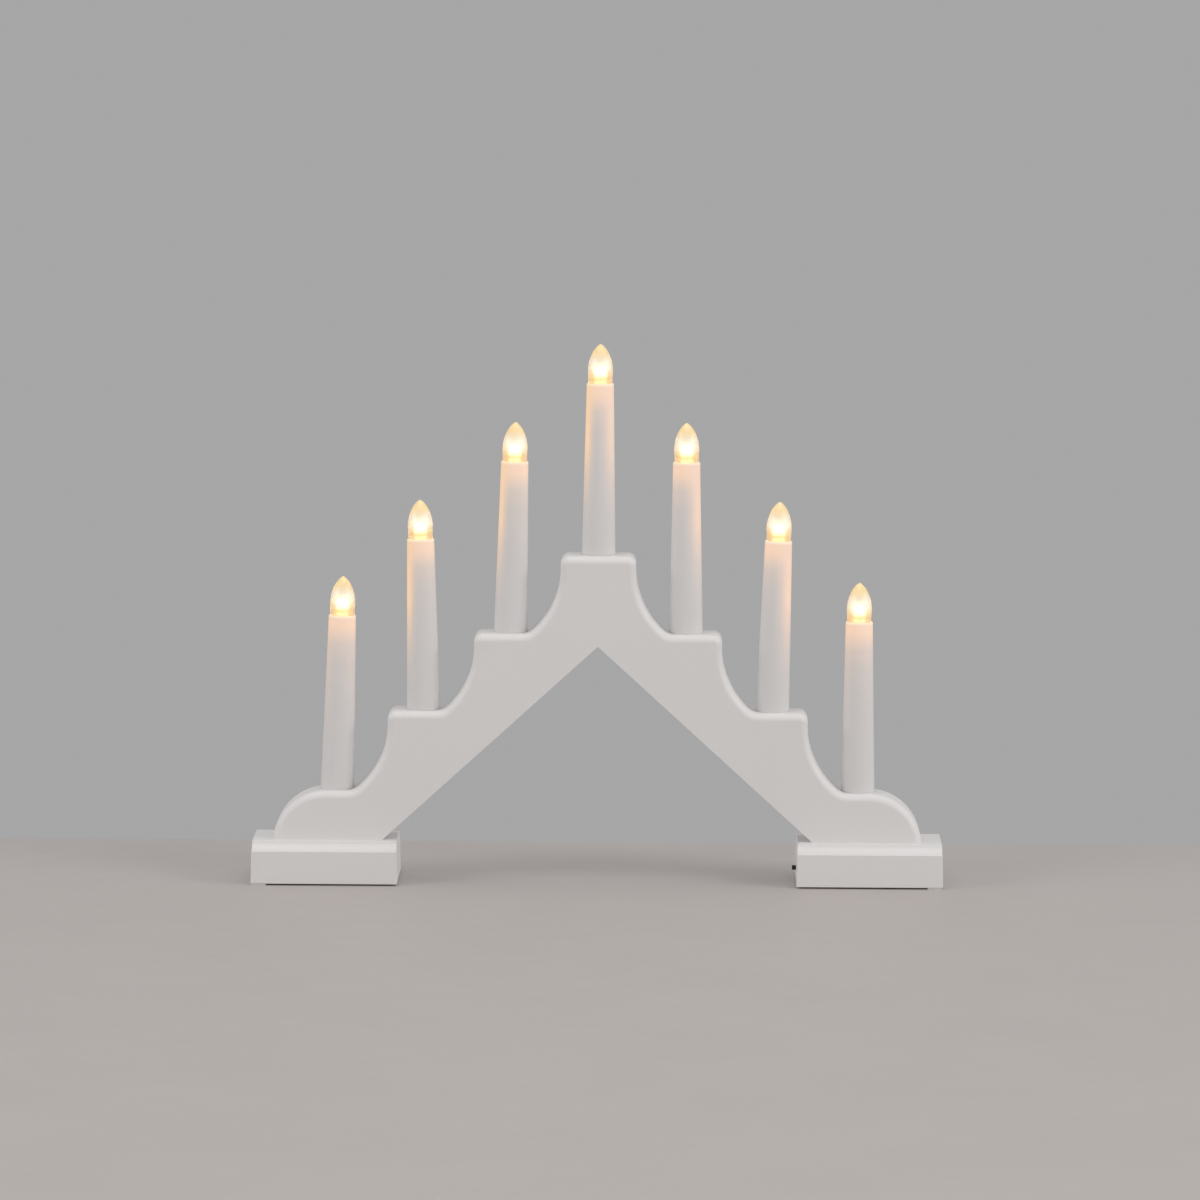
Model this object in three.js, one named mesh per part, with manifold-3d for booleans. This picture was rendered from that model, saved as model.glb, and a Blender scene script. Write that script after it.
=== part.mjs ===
// Seven-light advent candlestick.
// A stepped arch, moulded in two halves, stands on two hollow feet and carries seven plastic candles
// with warm LED lamps. Three AAA cells and a slide switch sit in the right foot.
// Units are millimetres. X runs along the arch, Y from front (negative) to back, and Z up.
// The origin is on the table, midway between the feet.

import * as THREE from 'three';
import { mergeVertices, toCreasedNormals } from 'three/addons/utils/BufferGeometryUtils.js';
import Module from 'manifold-3d';

const wasm = await Module();
wasm.setup();

// Feet
const FEET_SPAN = 292;
const FOOT_WALL = 1.8;
const FOOT_ROOF = 2.9;
const FOOT_COVE_DEPTH = 5.3;
const FOOT_COVE_HEIGHT = 3.7;
const RIM_HEIGHT = 0.6;
const NIB_LENGTH = 6;
const NIB_WIDTH = 1.2;
const NIB_INSET = 0.4;

// Arch
const ARCH_WALL = 2;
const ARCH_SIDE_ROOM = 1.4;
const ARCH_INSET = 8.8;
const EDGE_ROUND = 3.2;
const LEG_HEIGHT = 20.5;
const FIRST_RISE = 34.2;
const STEP_RISE = 33.1;
const TOP_BLOCK_HALF = 15.9;
const SHOULDER_STEP = 12.1;
const CORNER_ROUND = 3.6;
const COVE_DROP = 5.8;
const COVE_BLEND = 2.4;
const SHOULDER_RADIUS = 22.5;
const VALLEY_RISE = 82.8;
const LEG_INSET = 6.6;

const LOW_CANDLE_INSET = 27;
const SECOND_CANDLE_INSET = 14.9;
const THIRD_CANDLE_INSET = 15.3;
// Steps, lowest first: how far in from the outer side of its block the candle stands, and how far the
// cove behind the candle runs past the edge of its socket
const STEPS = [
  { inset: LOW_CANDLE_INSET, lap: 0.55 },
  { inset: SECOND_CANDLE_INSET, lap: -0.9 },
  { inset: THIRD_CANDLE_INSET, lap: -0.15 },
  { inset: TOP_BLOCK_HALF, lap: 0 },
];

// Candles, left to right: side of the arch, step, how far each one stands off plumb in its loose
// socket, in degrees, and how far it is lifted in it
const STANDS = [
  { side: -1, step: 0, lean: 1.6, lift: 1.6 },
  { side: -1, step: 1, lean: -1.1, lift: 0 },
  { side: -1, step: 2, lean: 1.2, lift: 0 },
  { side: 1, step: 3, lean: 0.3, lift: 0 },
  { side: 1, step: 2, lean: -0.1, lift: 0 },
  { side: 1, step: 1, lean: 1.65, lift: 0 },
  { side: 1, step: 0, lean: 0, lift: 0 },
];
const CANDLE_HEIGHT = 72.3;
const CANDLE_BASE_RADIUS = 7.1;
const CANDLE_TOP_RADIUS = 5.7;
const CANDLE_WALL = 1;
const CANDLE_RIM_ROUND = 0.35;
const CANDLE_LEDGE = 0.5;
const CANDLE_SINK = 10;
const FLANGE_OVERHANG = 1.7;
const FLANGE_THICKNESS = 1.6;
const SOCKET_GAP = 0.45;
const SOCKET_PLAY = 2.2;
const RIB_THICKNESS = 1.6;
const RIB_MARGIN = 0.7;
const LEAD_GAP_RADIUS = 3.4;

// Lamps
const CAP_HEIGHT = 16.5;
const CAP_BAND_RADIUS = 5.05;
const CAP_BULGE_RADIUS = 5.3;
const CAP_BAND_HEIGHT = 4.6;
const CAP_BORE_ROOM = 0.4;
const CAP_BORE_RISE = 1.2;
const BORE_DOME_SHARE = 0.7;
const CAP_SKIRT = 3;
const FLAME_FULLNESS = 1.4;
const FLAME_TURNS = [0.28, 0.55, 0.8];
const LED_RADIUS = 2.5;
const LED_FLANGE = 0.4;
const LED_HEIGHT = 8.7;
const LED_RISE = 7.5;
const LED_LEAD_LENGTH = 7;
const LED_LEAD_PITCH = 2.54;
const LED_LEAD_WIDTH = 0.5;
const LED_DOME_TURNS = [0.35, 0.7];
const HOLDER_THICKNESS = 2.6;

// Screws and their bosses
const SCREW_RADIUS = 1;
const SCREW_HEAD_RADIUS = 2.4;
const SCREW_HEAD_HEIGHT = 1.6;
const SCREW_HEAD_TAPER = 0.36;
const SCREW_TIP_ROOM = 1.2;
const BOSS_RADIUS = 3.6;
const COUNTERBORE_DEPTH = 5;
const TOP_BOSS_INSET = 25;
const TOP_BOSS_LIFT = 20.5;
const MIDDLE_BOSS_INSET = 17.8;
const MIDDLE_BOSS_LIFT = 14.8;
const LOW_BOSS_INSET = 16.9;
const LOW_BOSS_LIFT = 18;
// Each arch boss: how far in it stands from the candle of its step, and its height over the valley's wall
const ARCH_BOSSES = [
  { step: 2, inset: TOP_BOSS_INSET, lift: TOP_BOSS_LIFT },
  { step: 1, inset: MIDDLE_BOSS_INSET, lift: MIDDLE_BOSS_LIFT },
  { step: 0, inset: LOW_BOSS_INSET, lift: LOW_BOSS_LIFT },
];
const LEG_BOSS_RADIUS = 2.9;
const LEG_BOSS_HEIGHT = 8.3;
const LEG_BOSS_INNER_INSET = 13;
const LEG_BOSS_OUTER_INSET = 10.3;
const BOSS_FUSE = 0.1;

// Bottom plates, which run in grooves in the feet
const PLATE_BOTTOM = 0.4;
const PLATE_THICKNESS = 2;
const TONGUE_THICKNESS = 0.8;
const GROOVE_DEPTH = 0.9;
const GRIP_GROOVES = 5;
const GRIP_PITCH = 1.6;
const GRIP_WIDTH = 0.8;
const GRIP_DEPTH = 0.5;
const GRIP_LENGTH = 12;
const GRIP_INSET = 8;

// Battery bay and cells
const CELL_RADIUS = 5.25;
const CELL_LENGTH = 44.5;
const CELL_NUB_RADIUS = 1.9;
const CELL_NUB_HEIGHT = 1.2;
const CELL_GAP = 0.9;
const CELL_LIFT = 0.35;
const BAY_SIDE_ROOM = 1.55;
const DIVIDER_THICKNESS = 1.2;
const WIRE_WAY = 2.4;
const SADDLE_SHARES = [0.29, 0.79];
const SADDLE_DROP = 3.65;
const CONTACT_THICKNESS = 0.4;
const CONTACT_INSET = 0.75;
const DIMPLE_HEIGHT = 0.8;
const DIMPLE_RADIUS = 1.6;
const SPRING_ROOM = 4.4;
const SPRING_WIRE = 0.5;
const SPRING_BASE_RADIUS = 3.3;
const SPRING_TIP_RADIUS = 2.2;
const SPRING_TURNS = 2.5;
// A cell's plus end faces the outer end of the foot where its number is 1
const CELL_FACING = [1, -1, 1];

// Switch and circuit board
const SWITCH_HEIGHT = 6;
const SWITCH_TRAVEL = 2;
const SWITCH_LENGTH = 8.6;
const SWITCH_TALL = 3.7;
const SWITCH_DEEP = 4.5;
const SWITCH_SKIN = 0.5;
const SLIDER_BASE = 3.4;
const SLIDER_SHOE = 1.2;
const NUB_SIZE = 1.8;
const NUB_REACH = 1.6;
const BOARD_INSET = 3.2;
const BOARD_THICKNESS = 1.2;
const RAIL_THICKNESS = 1.1;
const RAIL_OVERLAP = 0.8;

// Wiring
const LOOM_RADIUS = 1.1;
const LOOM_LIFT = 3.4;
const LOOM_PEAK_HALF = 2;
const LOOM_BEND = 4;
const RISER_RADIUS = 0.8;
const LEAD_RADIUS = 0.5;
const LEAD_BEND = 1.2;
const WIRE_HOLE_RADIUS = 2.2;

// Clearances: SLIP between pieces that slide or drop together, SEAT where a piece rests, TOUCH at a contact
const SLIP = 0.3;
const SEAT = 0.2;
const TOUCH = 0.1;
// How far a cut or a fused rib runs past the face that it crosses
const OVERRUN = 0.5;

// Facets
const ROUND_SIDES = 16;
const SMALL_SIDES = 8;
const WIRE_SIDES = 6;
const WIRE_STEPS = 18;
const COIL_STEPS = 8;
const COIL_SIDES = 4;
const BEVEL_STEPS = 3;
const CORNER_STEPS = 3;
const COVE_STEPS = 6;
const BLEND_STEPS = 2;
const SHOULDER_STEPS = 7;
const CREASE = THREE.MathUtils.degToRad(35);

// Sizes of a foot, which is built round its cells
const plateTop = PLATE_BOTTOM + PLATE_THICKNESS;
const grooveTop = plateTop + SLIP;
const cellHeight = plateTop + CELL_LIFT + CELL_RADIUS;
const cellPitch = 2 * CELL_RADIUS + CELL_GAP;
const cellRows = [-cellPitch, 0, cellPitch];
const roofUnder = cellHeight + CELL_RADIUS + CELL_LIFT + SCREW_HEAD_HEIGHT + SEAT;
const footTop = roofUnder + FOOT_ROOF;
const footInside = cellPitch + CELL_RADIUS + BAY_SIDE_ROOM;
const footHalf = footInside + FOOT_WALL;
const platformHalf = footHalf - FOOT_COVE_DEPTH;
const plusGap = SEAT + CONTACT_THICKNESS + DIMPLE_HEIGHT + TOUCH;
const footOuter = FEET_SPAN / 2;
const bayEnd = footOuter - FOOT_WALL;
const bayStart = bayEnd - SPRING_ROOM - CELL_LENGTH - plusGap;
const dividerStart = bayStart - DIVIDER_THICKNESS;
const boardStart = dividerStart - SLIP - BOARD_THICKNESS;
const switchStart = boardStart - SLIP - SWITCH_DEEP;
const footInner = switchStart - SLIP - FOOT_WALL;
const bayWallTop = roofUnder - WIRE_WAY;
const boardTop = bayWallTop - SLIP;
const boardHalf = footInside - BOARD_INSET;
const boardBottom = plateTop + 2 * SLIP;
const contactHalf = CELL_RADIUS - CONTACT_INSET;

// Sizes of the arch, which stands on the feet
const archInside = CANDLE_BASE_RADIUS + ARCH_SIDE_ROOM;
const archHalfDepth = archInside + ARCH_WALL;
const archHalf = footOuter - ARCH_INSET;
const stepRun = (archHalf - SHOULDER_STEP - TOP_BLOCK_HALF) / 3;
const lowLevel = footTop + LEG_HEIGHT;
const levels = [lowLevel, ...[0, 1, 2].map((k) => lowLevel + FIRST_RISE + k * STEP_RISE)];
const blockSides = [archHalf, ...[2, 1, 0].map((k) => TOP_BLOCK_HALF + k * stepRun)];
const valleyHeight = footTop + VALLEY_RISE;
const valleySlope = Math.atan2(VALLEY_RISE, footInner + LEG_INSET);
const wallAt = (x) => valleyHeight + ARCH_WALL / Math.cos(valleySlope) - Math.tan(valleySlope) * Math.abs(x);
const standX = STEPS.map(({ inset }, k) => blockSides[k] - inset);
const candles = STANDS.map((stand) => ({ ...stand, x: stand.side * standX[stand.step] }));
const socketRadius = CANDLE_BASE_RADIUS + SOCKET_GAP;
const flangeHalf = CANDLE_BASE_RADIUS + FLANGE_OVERHANG;
const shelfTopAt = (step) => levels[step] - CANDLE_SINK - SOCKET_GAP;
const collarBottomAt = (step) => levels[step] - CANDLE_SINK + FLANGE_THICKNESS + SOCKET_PLAY;
const legBossY = archInside - LEG_BOSS_RADIUS + BOSS_FUSE;
const legBossInner = footInner + LEG_BOSS_INNER_INSET;
const legBossOuter = archHalf - LEG_BOSS_OUTER_INSET;
const wireHoleX = legBossInner + LEG_BOSS_RADIUS + 3 * SLIP + WIRE_HOLE_RADIUS;
const pilotRadius = SCREW_RADIUS + TOUCH;
const throughRadius = SCREW_RADIUS + SEAT + SLIP;
const loomFloor = (footTop + ARCH_WALL + shelfTopAt(0) - RIB_THICKNESS) / 2;

// Heights in a candle's own frame, whose zero is the surface of its step
const ledBase = CANDLE_HEIGHT + LED_RISE - LED_HEIGHT;
const holderTop = CANDLE_HEIGHT - CAP_SKIRT - SLIP;
const capShoulder = CANDLE_HEIGHT + SEAT;
const tubeMouthRadius = CANDLE_TOP_RADIUS - CANDLE_WALL;

const finish = (color, roughness, extra = {}) => new THREE.MeshStandardMaterial({ color, roughness, ...extra });
const whitePlastic = finish(0xf0efec, 0.42);
const candlePlastic = finish(0xf6f3ee, 0.3);
const clearPlastic = finish(0xfff4dc, 0.08, { transparent: true, opacity: 0.35 });
const litLens = finish(0xffe2a8, 0.2, { emissive: 0xffb347 });
const holderPlastic = finish(0xf4efe4, 0.5);
const blackPlastic = finish(0x141414, 0.45);
const switchMetal = finish(0xb9bcbf, 0.35, { metalness: 0.9 });
const steel = finish(0xa9adb0, 0.3, { metalness: 1 });
const cellSleeve = finish(0x3a4a5c, 0.35);
const boardResin = finish(0xb79a62, 0.6);
const wireSheath = finish(0xe9e7e1, 0.5);

// A closed geometry as a solid that can be joined and cut.
function solid(geometry) {
  geometry.deleteAttribute('normal');
  geometry.deleteAttribute('uv');
  const merged = mergeVertices(geometry, 1e-4);
  return new wasm.Manifold(
    new wasm.Mesh({
      numProp: 3,
      vertProperties: merged.getAttribute('position').array,
      triVerts: new Uint32Array(merged.index.array),
    }),
  );
}

function geometryOf(body) {
  const mesh = body.getMesh();
  const geometry = new THREE.BufferGeometry();
  geometry.setAttribute('position', new THREE.BufferAttribute(mesh.vertProperties, 3));
  geometry.setIndex(new THREE.BufferAttribute(mesh.triVerts, 1));
  return toCreasedNormals(geometry, CREASE);
}

function join(bodies) {
  return bodies.reduce((whole, body) => whole.add(body));
}

const ordered = (a, b) => (a < b ? [a, b] : [b, a]);

function box(x0, x1, y0, y1, z0, z1) {
  const block = new THREE.BoxGeometry(x1 - x0, y1 - y0, z1 - z0);
  return solid(block.translate((x0 + x1) / 2, (y0 + y1) / 2, (z0 + z1) / 2));
}

// An outline of points swept straight along an axis between two planes. The outline's own two
// coordinates are Y and Z along x, X and Z along y, and X and Y along z.
const UNIT = { x: new THREE.Vector3(1, 0, 0), y: new THREE.Vector3(0, 1, 0), z: new THREE.Vector3(0, 0, 1) };
const SWEEPS = {
  x: new THREE.Matrix4().makeBasis(UNIT.y, UNIT.z, UNIT.x),
  y: new THREE.Matrix4().makeBasis(UNIT.x, UNIT.z, UNIT.y.clone().negate()),
  z: new THREE.Matrix4(),
};

function prism(outline, axis, from, to, round = 0) {
  const swept = new THREE.ExtrudeGeometry(new THREE.Shape(outline), {
    depth: to - from - 2 * round,
    bevelEnabled: round > 0,
    bevelThickness: round,
    bevelSize: round,
    bevelOffset: -round,
    bevelSegments: BEVEL_STEPS,
  });
  const start = axis === 'y' ? -to : from;
  return solid(swept.translate(0, 0, start + round).applyMatrix4(SWEEPS[axis]));
}

function arcPoints(cx, cy, radiusX, radiusY, start, end, steps) {
  return Array.from({ length: steps + 1 }, (_, i) => {
    const angle = start + ((end - start) * i) / steps;
    return new THREE.Vector2(cx + radiusX * Math.cos(angle), cy + radiusY * Math.sin(angle));
  });
}

// An outline that is symmetric about its second axis, from the points of its right half, bottom to top or back.
function mirrored(right) {
  const left = [...right].reverse().map((p) => new THREE.Vector2(-p.x, p.y));
  return [...right, ...left.filter((p) => p.x !== 0)];
}

function rod(axis, radius, from, to, u, v, sides = SMALL_SIDES) {
  return prism(arcPoints(u, v, radius, radius, 0, 2 * Math.PI, sides).slice(0, -1), axis, from, to);
}

// A profile of [radius, height] pairs turned about Z.
function turned(profile, sides = ROUND_SIDES) {
  const points = profile.map(([radius, height]) => new THREE.Vector2(radius, height));
  return solid(new THREE.LatheGeometry(points, sides).rotateX(Math.PI / 2));
}

// A round wire of constant thickness that follows a curve.
function wire(curve, radius, steps = WIRE_STEPS, sides = WIRE_SIDES) {
  const section = new THREE.Shape(arcPoints(0, 0, radius, radius, 0, 2 * Math.PI, sides).slice(0, -1));
  return solid(new THREE.ExtrudeGeometry(section, { steps, extrudePath: curve, bevelEnabled: false }));
}

function route(points) {
  return new THREE.CatmullRomCurve3(points.map((p) => new THREE.Vector3(...p)), false, 'catmullrom', 0.2);
}

const candlestick = new THREE.Group();

function place(name, body, material, parent = candlestick) {
  const mesh = new THREE.Mesh(geometryOf(body), material);
  mesh.name = name;
  parent.add(mesh);
  return mesh;
}

// Arch
// Radius of the cove that drops from block k to the step below it and ends at that step's candle.
function coveRadius(k) {
  const fall = levels[k] - COVE_DROP - levels[k - 1];
  const reach = standX[k - 1] - socketRadius + STEPS[k - 1].lap - blockSides[k];
  return (fall ** 2 + reach ** 2) / (2 * reach);
}

// Right half of the stepped outline in X and Z, from the top middle round to the valley under the arch,
// moved inwards by inset, and along the sole and the valley by lift. Every arc keeps its centre, so the
// inset outline runs parallel to the outer one.
function archSide(inset, lift = inset) {
  const quarter = Math.PI / 2;
  const points = [];
  for (let k = 3; k > 0; k -= 1) {
    const side = blockSides[k];
    const corner = CORNER_ROUND - inset;
    const cornerZ = levels[k] - CORNER_ROUND;
    points.push(...arcPoints(side - CORNER_ROUND, cornerZ, corner, corner, quarter, 0, CORNER_STEPS));
    const coveX = side + coveRadius(k);
    const coveZ = levels[k] - COVE_DROP;
    const cove = coveRadius(k) + inset;
    const flatZ = levels[k - 1] - inset;
    const meeting = Math.PI + Math.asin((coveZ - flatZ) / cove);
    const kink = new THREE.Vector2(coveX + cove * Math.cos(meeting), flatZ);
    const arc = arcPoints(coveX, coveZ, cove, cove, Math.PI, meeting - COVE_BLEND / cove, COVE_STEPS);
    const landing = new THREE.Vector2(kink.x + COVE_BLEND, flatZ);
    const blend = new THREE.QuadraticBezierCurve(arc.at(-1), kink, landing);
    points.push(...arc, ...blend.getPoints(BLEND_STEPS).slice(1));
  }
  const shoulderX = archHalf - SHOULDER_RADIUS;
  const shoulderZ = levels[0] - SHOULDER_RADIUS;
  const shoulder = SHOULDER_RADIUS - inset;
  const soleZ = footTop + lift;
  const heel = Math.asin((soleZ - shoulderZ) / shoulder);
  points.push(...arcPoints(shoulderX, shoulderZ, shoulder, shoulder, quarter, heel, SHOULDER_STEPS));
  const valleyZ = valleyHeight + lift / Math.cos(valleySlope);
  points.push(new THREE.Vector2((valleyZ - soleZ) / Math.tan(valleySlope), soleZ));
  points.push(new THREE.Vector2(0, valleyZ));
  return points;
}

// Inside the arch each candle's flange is held between a collar rib and a shelf rib.
function socketRibs({ x, step }) {
  const shelfTop = shelfTopAt(step);
  const collarBottom = collarBottomAt(step);
  const half = flangeHalf + RIB_MARGIN;
  const reach = archInside + OVERRUN;
  const collar = box(x - half, x + half, -reach, reach, collarBottom, collarBottom + RIB_THICKNESS);
  const shelf = box(x - half, x + half, -reach, reach, shelfTop - RIB_THICKNESS, shelfTop);
  const leadGap = rod('z', LEAD_GAP_RADIUS, shelfTop - RIB_THICKNESS - OVERRUN, shelfTop + OVERRUN, x, 0);
  return collar.add(shelf.subtract(leadGap));
}

// The hole goes on up through the foot of the cove, where that runs past the socket's edge.
function socketHole({ x, step }) {
  const top = levels[step] + COVE_BLEND + OVERRUN;
  return rod('z', socketRadius, collarBottomAt(step) - OVERRUN, top, x, 0, ROUND_SIDES);
}

const bothSides = (places) => places.flatMap(([x, other]) => [[-x, other], [x, other]]);
const archBosses = bothSides(ARCH_BOSSES.map(({ step, inset, lift }) => {
  const x = standX[step] - inset;
  return [x, wallAt(x) + lift];
}));
const legBosses = bothSides([[legBossInner, -legBossY], [legBossOuter, legBossY]]);
const legPilotEnd = footTop + LEG_BOSS_HEIGHT - OVERRUN;
const archPilotEnd = OVERRUN + ARCH_WALL - archHalfDepth;
const counterboreSeat = archHalfDepth - COUNTERBORE_DEPTH;

// The arch's outer form: its edges are round along the steps and sharp along the sole and the valley.
function archBlock() {
  const rounded = prism(mirrored(archSide(0, -EDGE_ROUND)), 'y', -archHalfDepth, archHalfDepth, EDGE_ROUND);
  return rounded.intersect(prism(mirrored(archSide(0)), 'y', -archHalfDepth, archHalfDepth));
}

// The whole hollow arch, before it is parted at the middle of its depth.
function wholeArch() {
  const cavity = prism(mirrored(archSide(ARCH_WALL)), 'y', -archInside, archInside);
  const bossReach = archInside + OVERRUN;
  const added = [
    ...candles.map(socketRibs),
    ...archBosses.map(([x, z]) => rod('y', BOSS_RADIUS, -bossReach, bossReach, x, z)),
    ...legBosses.map(([x, y]) => rod('z', LEG_BOSS_RADIUS, footTop + OVERRUN, footTop + LEG_BOSS_HEIGHT, x, y)),
  ];
  const soleCut = [footTop - OVERRUN, footTop + ARCH_WALL + OVERRUN];
  const cut = [
    ...candles.map(socketHole),
    ...legBosses.map(([x, y]) => rod('z', pilotRadius, footTop - OVERRUN, legPilotEnd, x, y)),
    ...[-wireHoleX, wireHoleX].map((x) => rod('z', WIRE_HOLE_RADIUS, ...soleCut, x, 0)),
  ];
  return archBlock().subtract(cavity).add(join(added)).subtract(join(cut));
}

function buildArch() {
  const whole = wholeArch();
  const far = FEET_SPAN;
  const front = whole.intersect(box(-far, far, -far, 0, 0, far));
  const rear = whole.intersect(box(-far, far, 0, far, 0, far));
  const pilots = archBosses.map(([x, z]) => rod('y', pilotRadius, archPilotEnd, OVERRUN, x, z));
  const throughs = archBosses.flatMap(([x, z]) => [
    rod('y', throughRadius, -OVERRUN, archHalfDepth, x, z),
    rod('y', SCREW_HEAD_RADIUS + SLIP, counterboreSeat, archHalfDepth + OVERRUN, x, z),
  ]);
  place('front_arch_shell', front.subtract(join(pilots)), whitePlastic);
  place('rear_arch_shell', rear.subtract(join(throughs)), whitePlastic);
}

// Screw that stands on the origin with its tapered head below Z 0 and its shank up.
function screw(length) {
  return turned([
    [0, -SCREW_HEAD_HEIGHT],
    [SCREW_HEAD_RADIUS - SCREW_HEAD_TAPER, -SCREW_HEAD_HEIGHT],
    [SCREW_HEAD_RADIUS, 0],
    [SCREW_RADIUS, 0],
    [SCREW_RADIUS, length - SCREW_RADIUS],
    [0, length],
  ], SMALL_SIDES);
}

function buildScrews() {
  const archHead = counterboreSeat + SEAT;
  const archScrew = screw(archHead - archPilotEnd - SCREW_TIP_ROOM);
  archBosses.forEach(([x, z], i) => {
    const mesh = place(`arch_screw_${i + 1}`, archScrew, steel);
    mesh.position.set(x, archHead, z);
    mesh.rotation.x = Math.PI / 2;
  });
  const legHead = roofUnder - SEAT;
  const legScrew = screw(legPilotEnd - legHead - SCREW_TIP_ROOM);
  legBosses.forEach(([x, y], i) => {
    const mesh = place(`foot_screw_${i + 1}`, legScrew, steel);
    mesh.position.set(x, y, legHead);
  });
}

// Tapered tube with a keyed flange at its foot and a ledge for the lamp holder near its mouth.
function candleTube() {
  const sink = -CANDLE_SINK;
  const taper = (CANDLE_BASE_RADIUS - CANDLE_TOP_RADIUS) / CANDLE_HEIGHT;
  const rim = CANDLE_HEIGHT - CANDLE_RIM_ROUND;
  const ledgeZ = holderTop - HOLDER_THICKNESS - SLIP;
  const bore = CANDLE_BASE_RADIUS - CANDLE_WALL;
  const flangeDepth = archInside - SLIP;
  const flange = box(-flangeHalf, flangeHalf, -flangeDepth, flangeDepth, sink, sink + FLANGE_THICKNESS);
  const tube = turned([
    [CANDLE_BASE_RADIUS, sink],
    [CANDLE_BASE_RADIUS, 0],
    [CANDLE_BASE_RADIUS - taper * rim, rim],
    [CANDLE_TOP_RADIUS - CANDLE_RIM_ROUND, CANDLE_HEIGHT],
    [tubeMouthRadius, CANDLE_HEIGHT],
    [tubeMouthRadius, ledgeZ],
    [tubeMouthRadius - CANDLE_LEDGE, ledgeZ],
    [bore, sink],
    [CANDLE_BASE_RADIUS, sink],
  ]);
  const through = rod('z', bore, sink - OVERRUN, sink + FLANGE_THICKNESS + OVERRUN, 0, 0, ROUND_SIDES);
  return tube.add(flange.subtract(through));
}

const ledFlangeRadius = LED_RADIUS + LED_FLANGE;

// Thick clear flame, bored for its LED: a plug that enters the tube, a straight band, and a pointed
// dome over it.
function flameCap() {
  const plug = tubeMouthRadius - SLIP / 2;
  const bore = ledFlangeRadius + CAP_BORE_ROOM;
  const plugEnd = CANDLE_HEIGHT - CAP_SKIRT;
  const bandTop = capShoulder + CAP_BAND_HEIGHT;
  const tip = CANDLE_HEIGHT + CAP_HEIGHT;
  const boreTop = CANDLE_HEIGHT + LED_RISE + CAP_BORE_RISE;
  const flame = (turn) => {
    const angle = (turn * Math.PI) / 2;
    return [CAP_BULGE_RADIUS * Math.cos(angle) ** FLAME_FULLNESS, bandTop + (tip - bandTop) * Math.sin(angle)];
  };
  return turned([
    [bore, plugEnd],
    [plug, plugEnd],
    [plug, capShoulder],
    [CAP_BAND_RADIUS, capShoulder],
    [CAP_BAND_RADIUS, (capShoulder + 2 * bandTop) / 3],
    [CAP_BULGE_RADIUS, bandTop],
    ...FLAME_TURNS.map(flame),
    [0, tip],
    [0, boreTop],
    [bore * BORE_DOME_SHARE, boreTop - bore * (1 - BORE_DOME_SHARE)],
    [bore, boreTop - bore],
    [bore, plugEnd],
  ]);
}

// Disc that rests on the tube's ledge, with a post under the LED and a bore for its leads.
function ledHolder() {
  const rim = tubeMouthRadius - SLIP / 2;
  const post = ledFlangeRadius + TOUCH;
  const bore = LED_LEAD_PITCH / 2 + LED_LEAD_WIDTH;
  return turned([
    [bore, holderTop - HOLDER_THICKNESS],
    [rim, holderTop - HOLDER_THICKNESS],
    [rim, holderTop],
    [post, holderTop],
    [post, ledBase - SEAT],
    [bore, ledBase - SEAT],
    [bore, holderTop - HOLDER_THICKNESS],
  ], SMALL_SIDES);
}

function led() {
  const domeStart = ledBase + LED_HEIGHT - LED_RADIUS;
  const flangeTop = ledBase + 2 * LED_FLANGE;
  const dome = LED_DOME_TURNS.map((turn) => {
    const angle = (turn * Math.PI) / 2;
    return [LED_RADIUS * Math.cos(angle), domeStart + LED_RADIUS * Math.sin(angle)];
  });
  const lens = turned([
    [0, ledBase],
    [ledFlangeRadius, ledBase],
    [ledFlangeRadius, flangeTop],
    [LED_RADIUS, flangeTop],
    [LED_RADIUS, domeStart],
    ...dome,
    [0, ledBase + LED_HEIGHT],
  ], SMALL_SIDES);
  const half = LED_LEAD_WIDTH / 2;
  const leads = [-LED_LEAD_PITCH / 2, LED_LEAD_PITCH / 2].map((x) =>
    box(x - half, x + half, -half, half, ledBase - LED_LEAD_LENGTH, ledBase + LED_FLANGE));
  return lens.add(join(leads));
}

function buildCandles() {
  const pieces = [
    ['candle_tube', candleTube(), candlePlastic],
    ['led_holder', ledHolder(), holderPlastic],
    ['led', led(), litLens],
    ['flame_cap', flameCap(), clearPlastic],
  ];
  candles.forEach(({ x, step, lean, lift }, i) => {
    const stand = new THREE.Group();
    stand.position.set(x, 0, levels[step] + lift);
    stand.rotation.y = THREE.MathUtils.degToRad(lean);
    candlestick.add(stand);
    pieces.forEach(([name, body, material]) => place(`${name}_${i + 1}`, body, material, stand));
  });
}

// Feet
// Cross-section of a foot in Y and Z: a plain face, then a cove up to the platform the arch stands on.
function footBlock() {
  const rim = new THREE.Vector2(footHalf, RIM_HEIGHT);
  const radii = [FOOT_COVE_DEPTH, FOOT_COVE_HEIGHT];
  const cove = arcPoints(footHalf, footTop, ...radii, -Math.PI / 2, -Math.PI, COVE_STEPS);
  return prism(mirrored([rim, ...cove]), 'x', footInner, footOuter);
}

function footCavity() {
  const shoulder = footTop - FOOT_COVE_HEIGHT - FOOT_ROOF;
  const roofHalf = platformHalf - FOOT_WALL;
  const right = [[footInside, -OVERRUN], [footInside, shoulder], [roofHalf, roofUnder]];
  const outline = mirrored(right.map(([y, z]) => new THREE.Vector2(y, z)));
  return prism(outline, 'x', footInner + FOOT_WALL, footOuter - FOOT_WALL);
}

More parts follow.
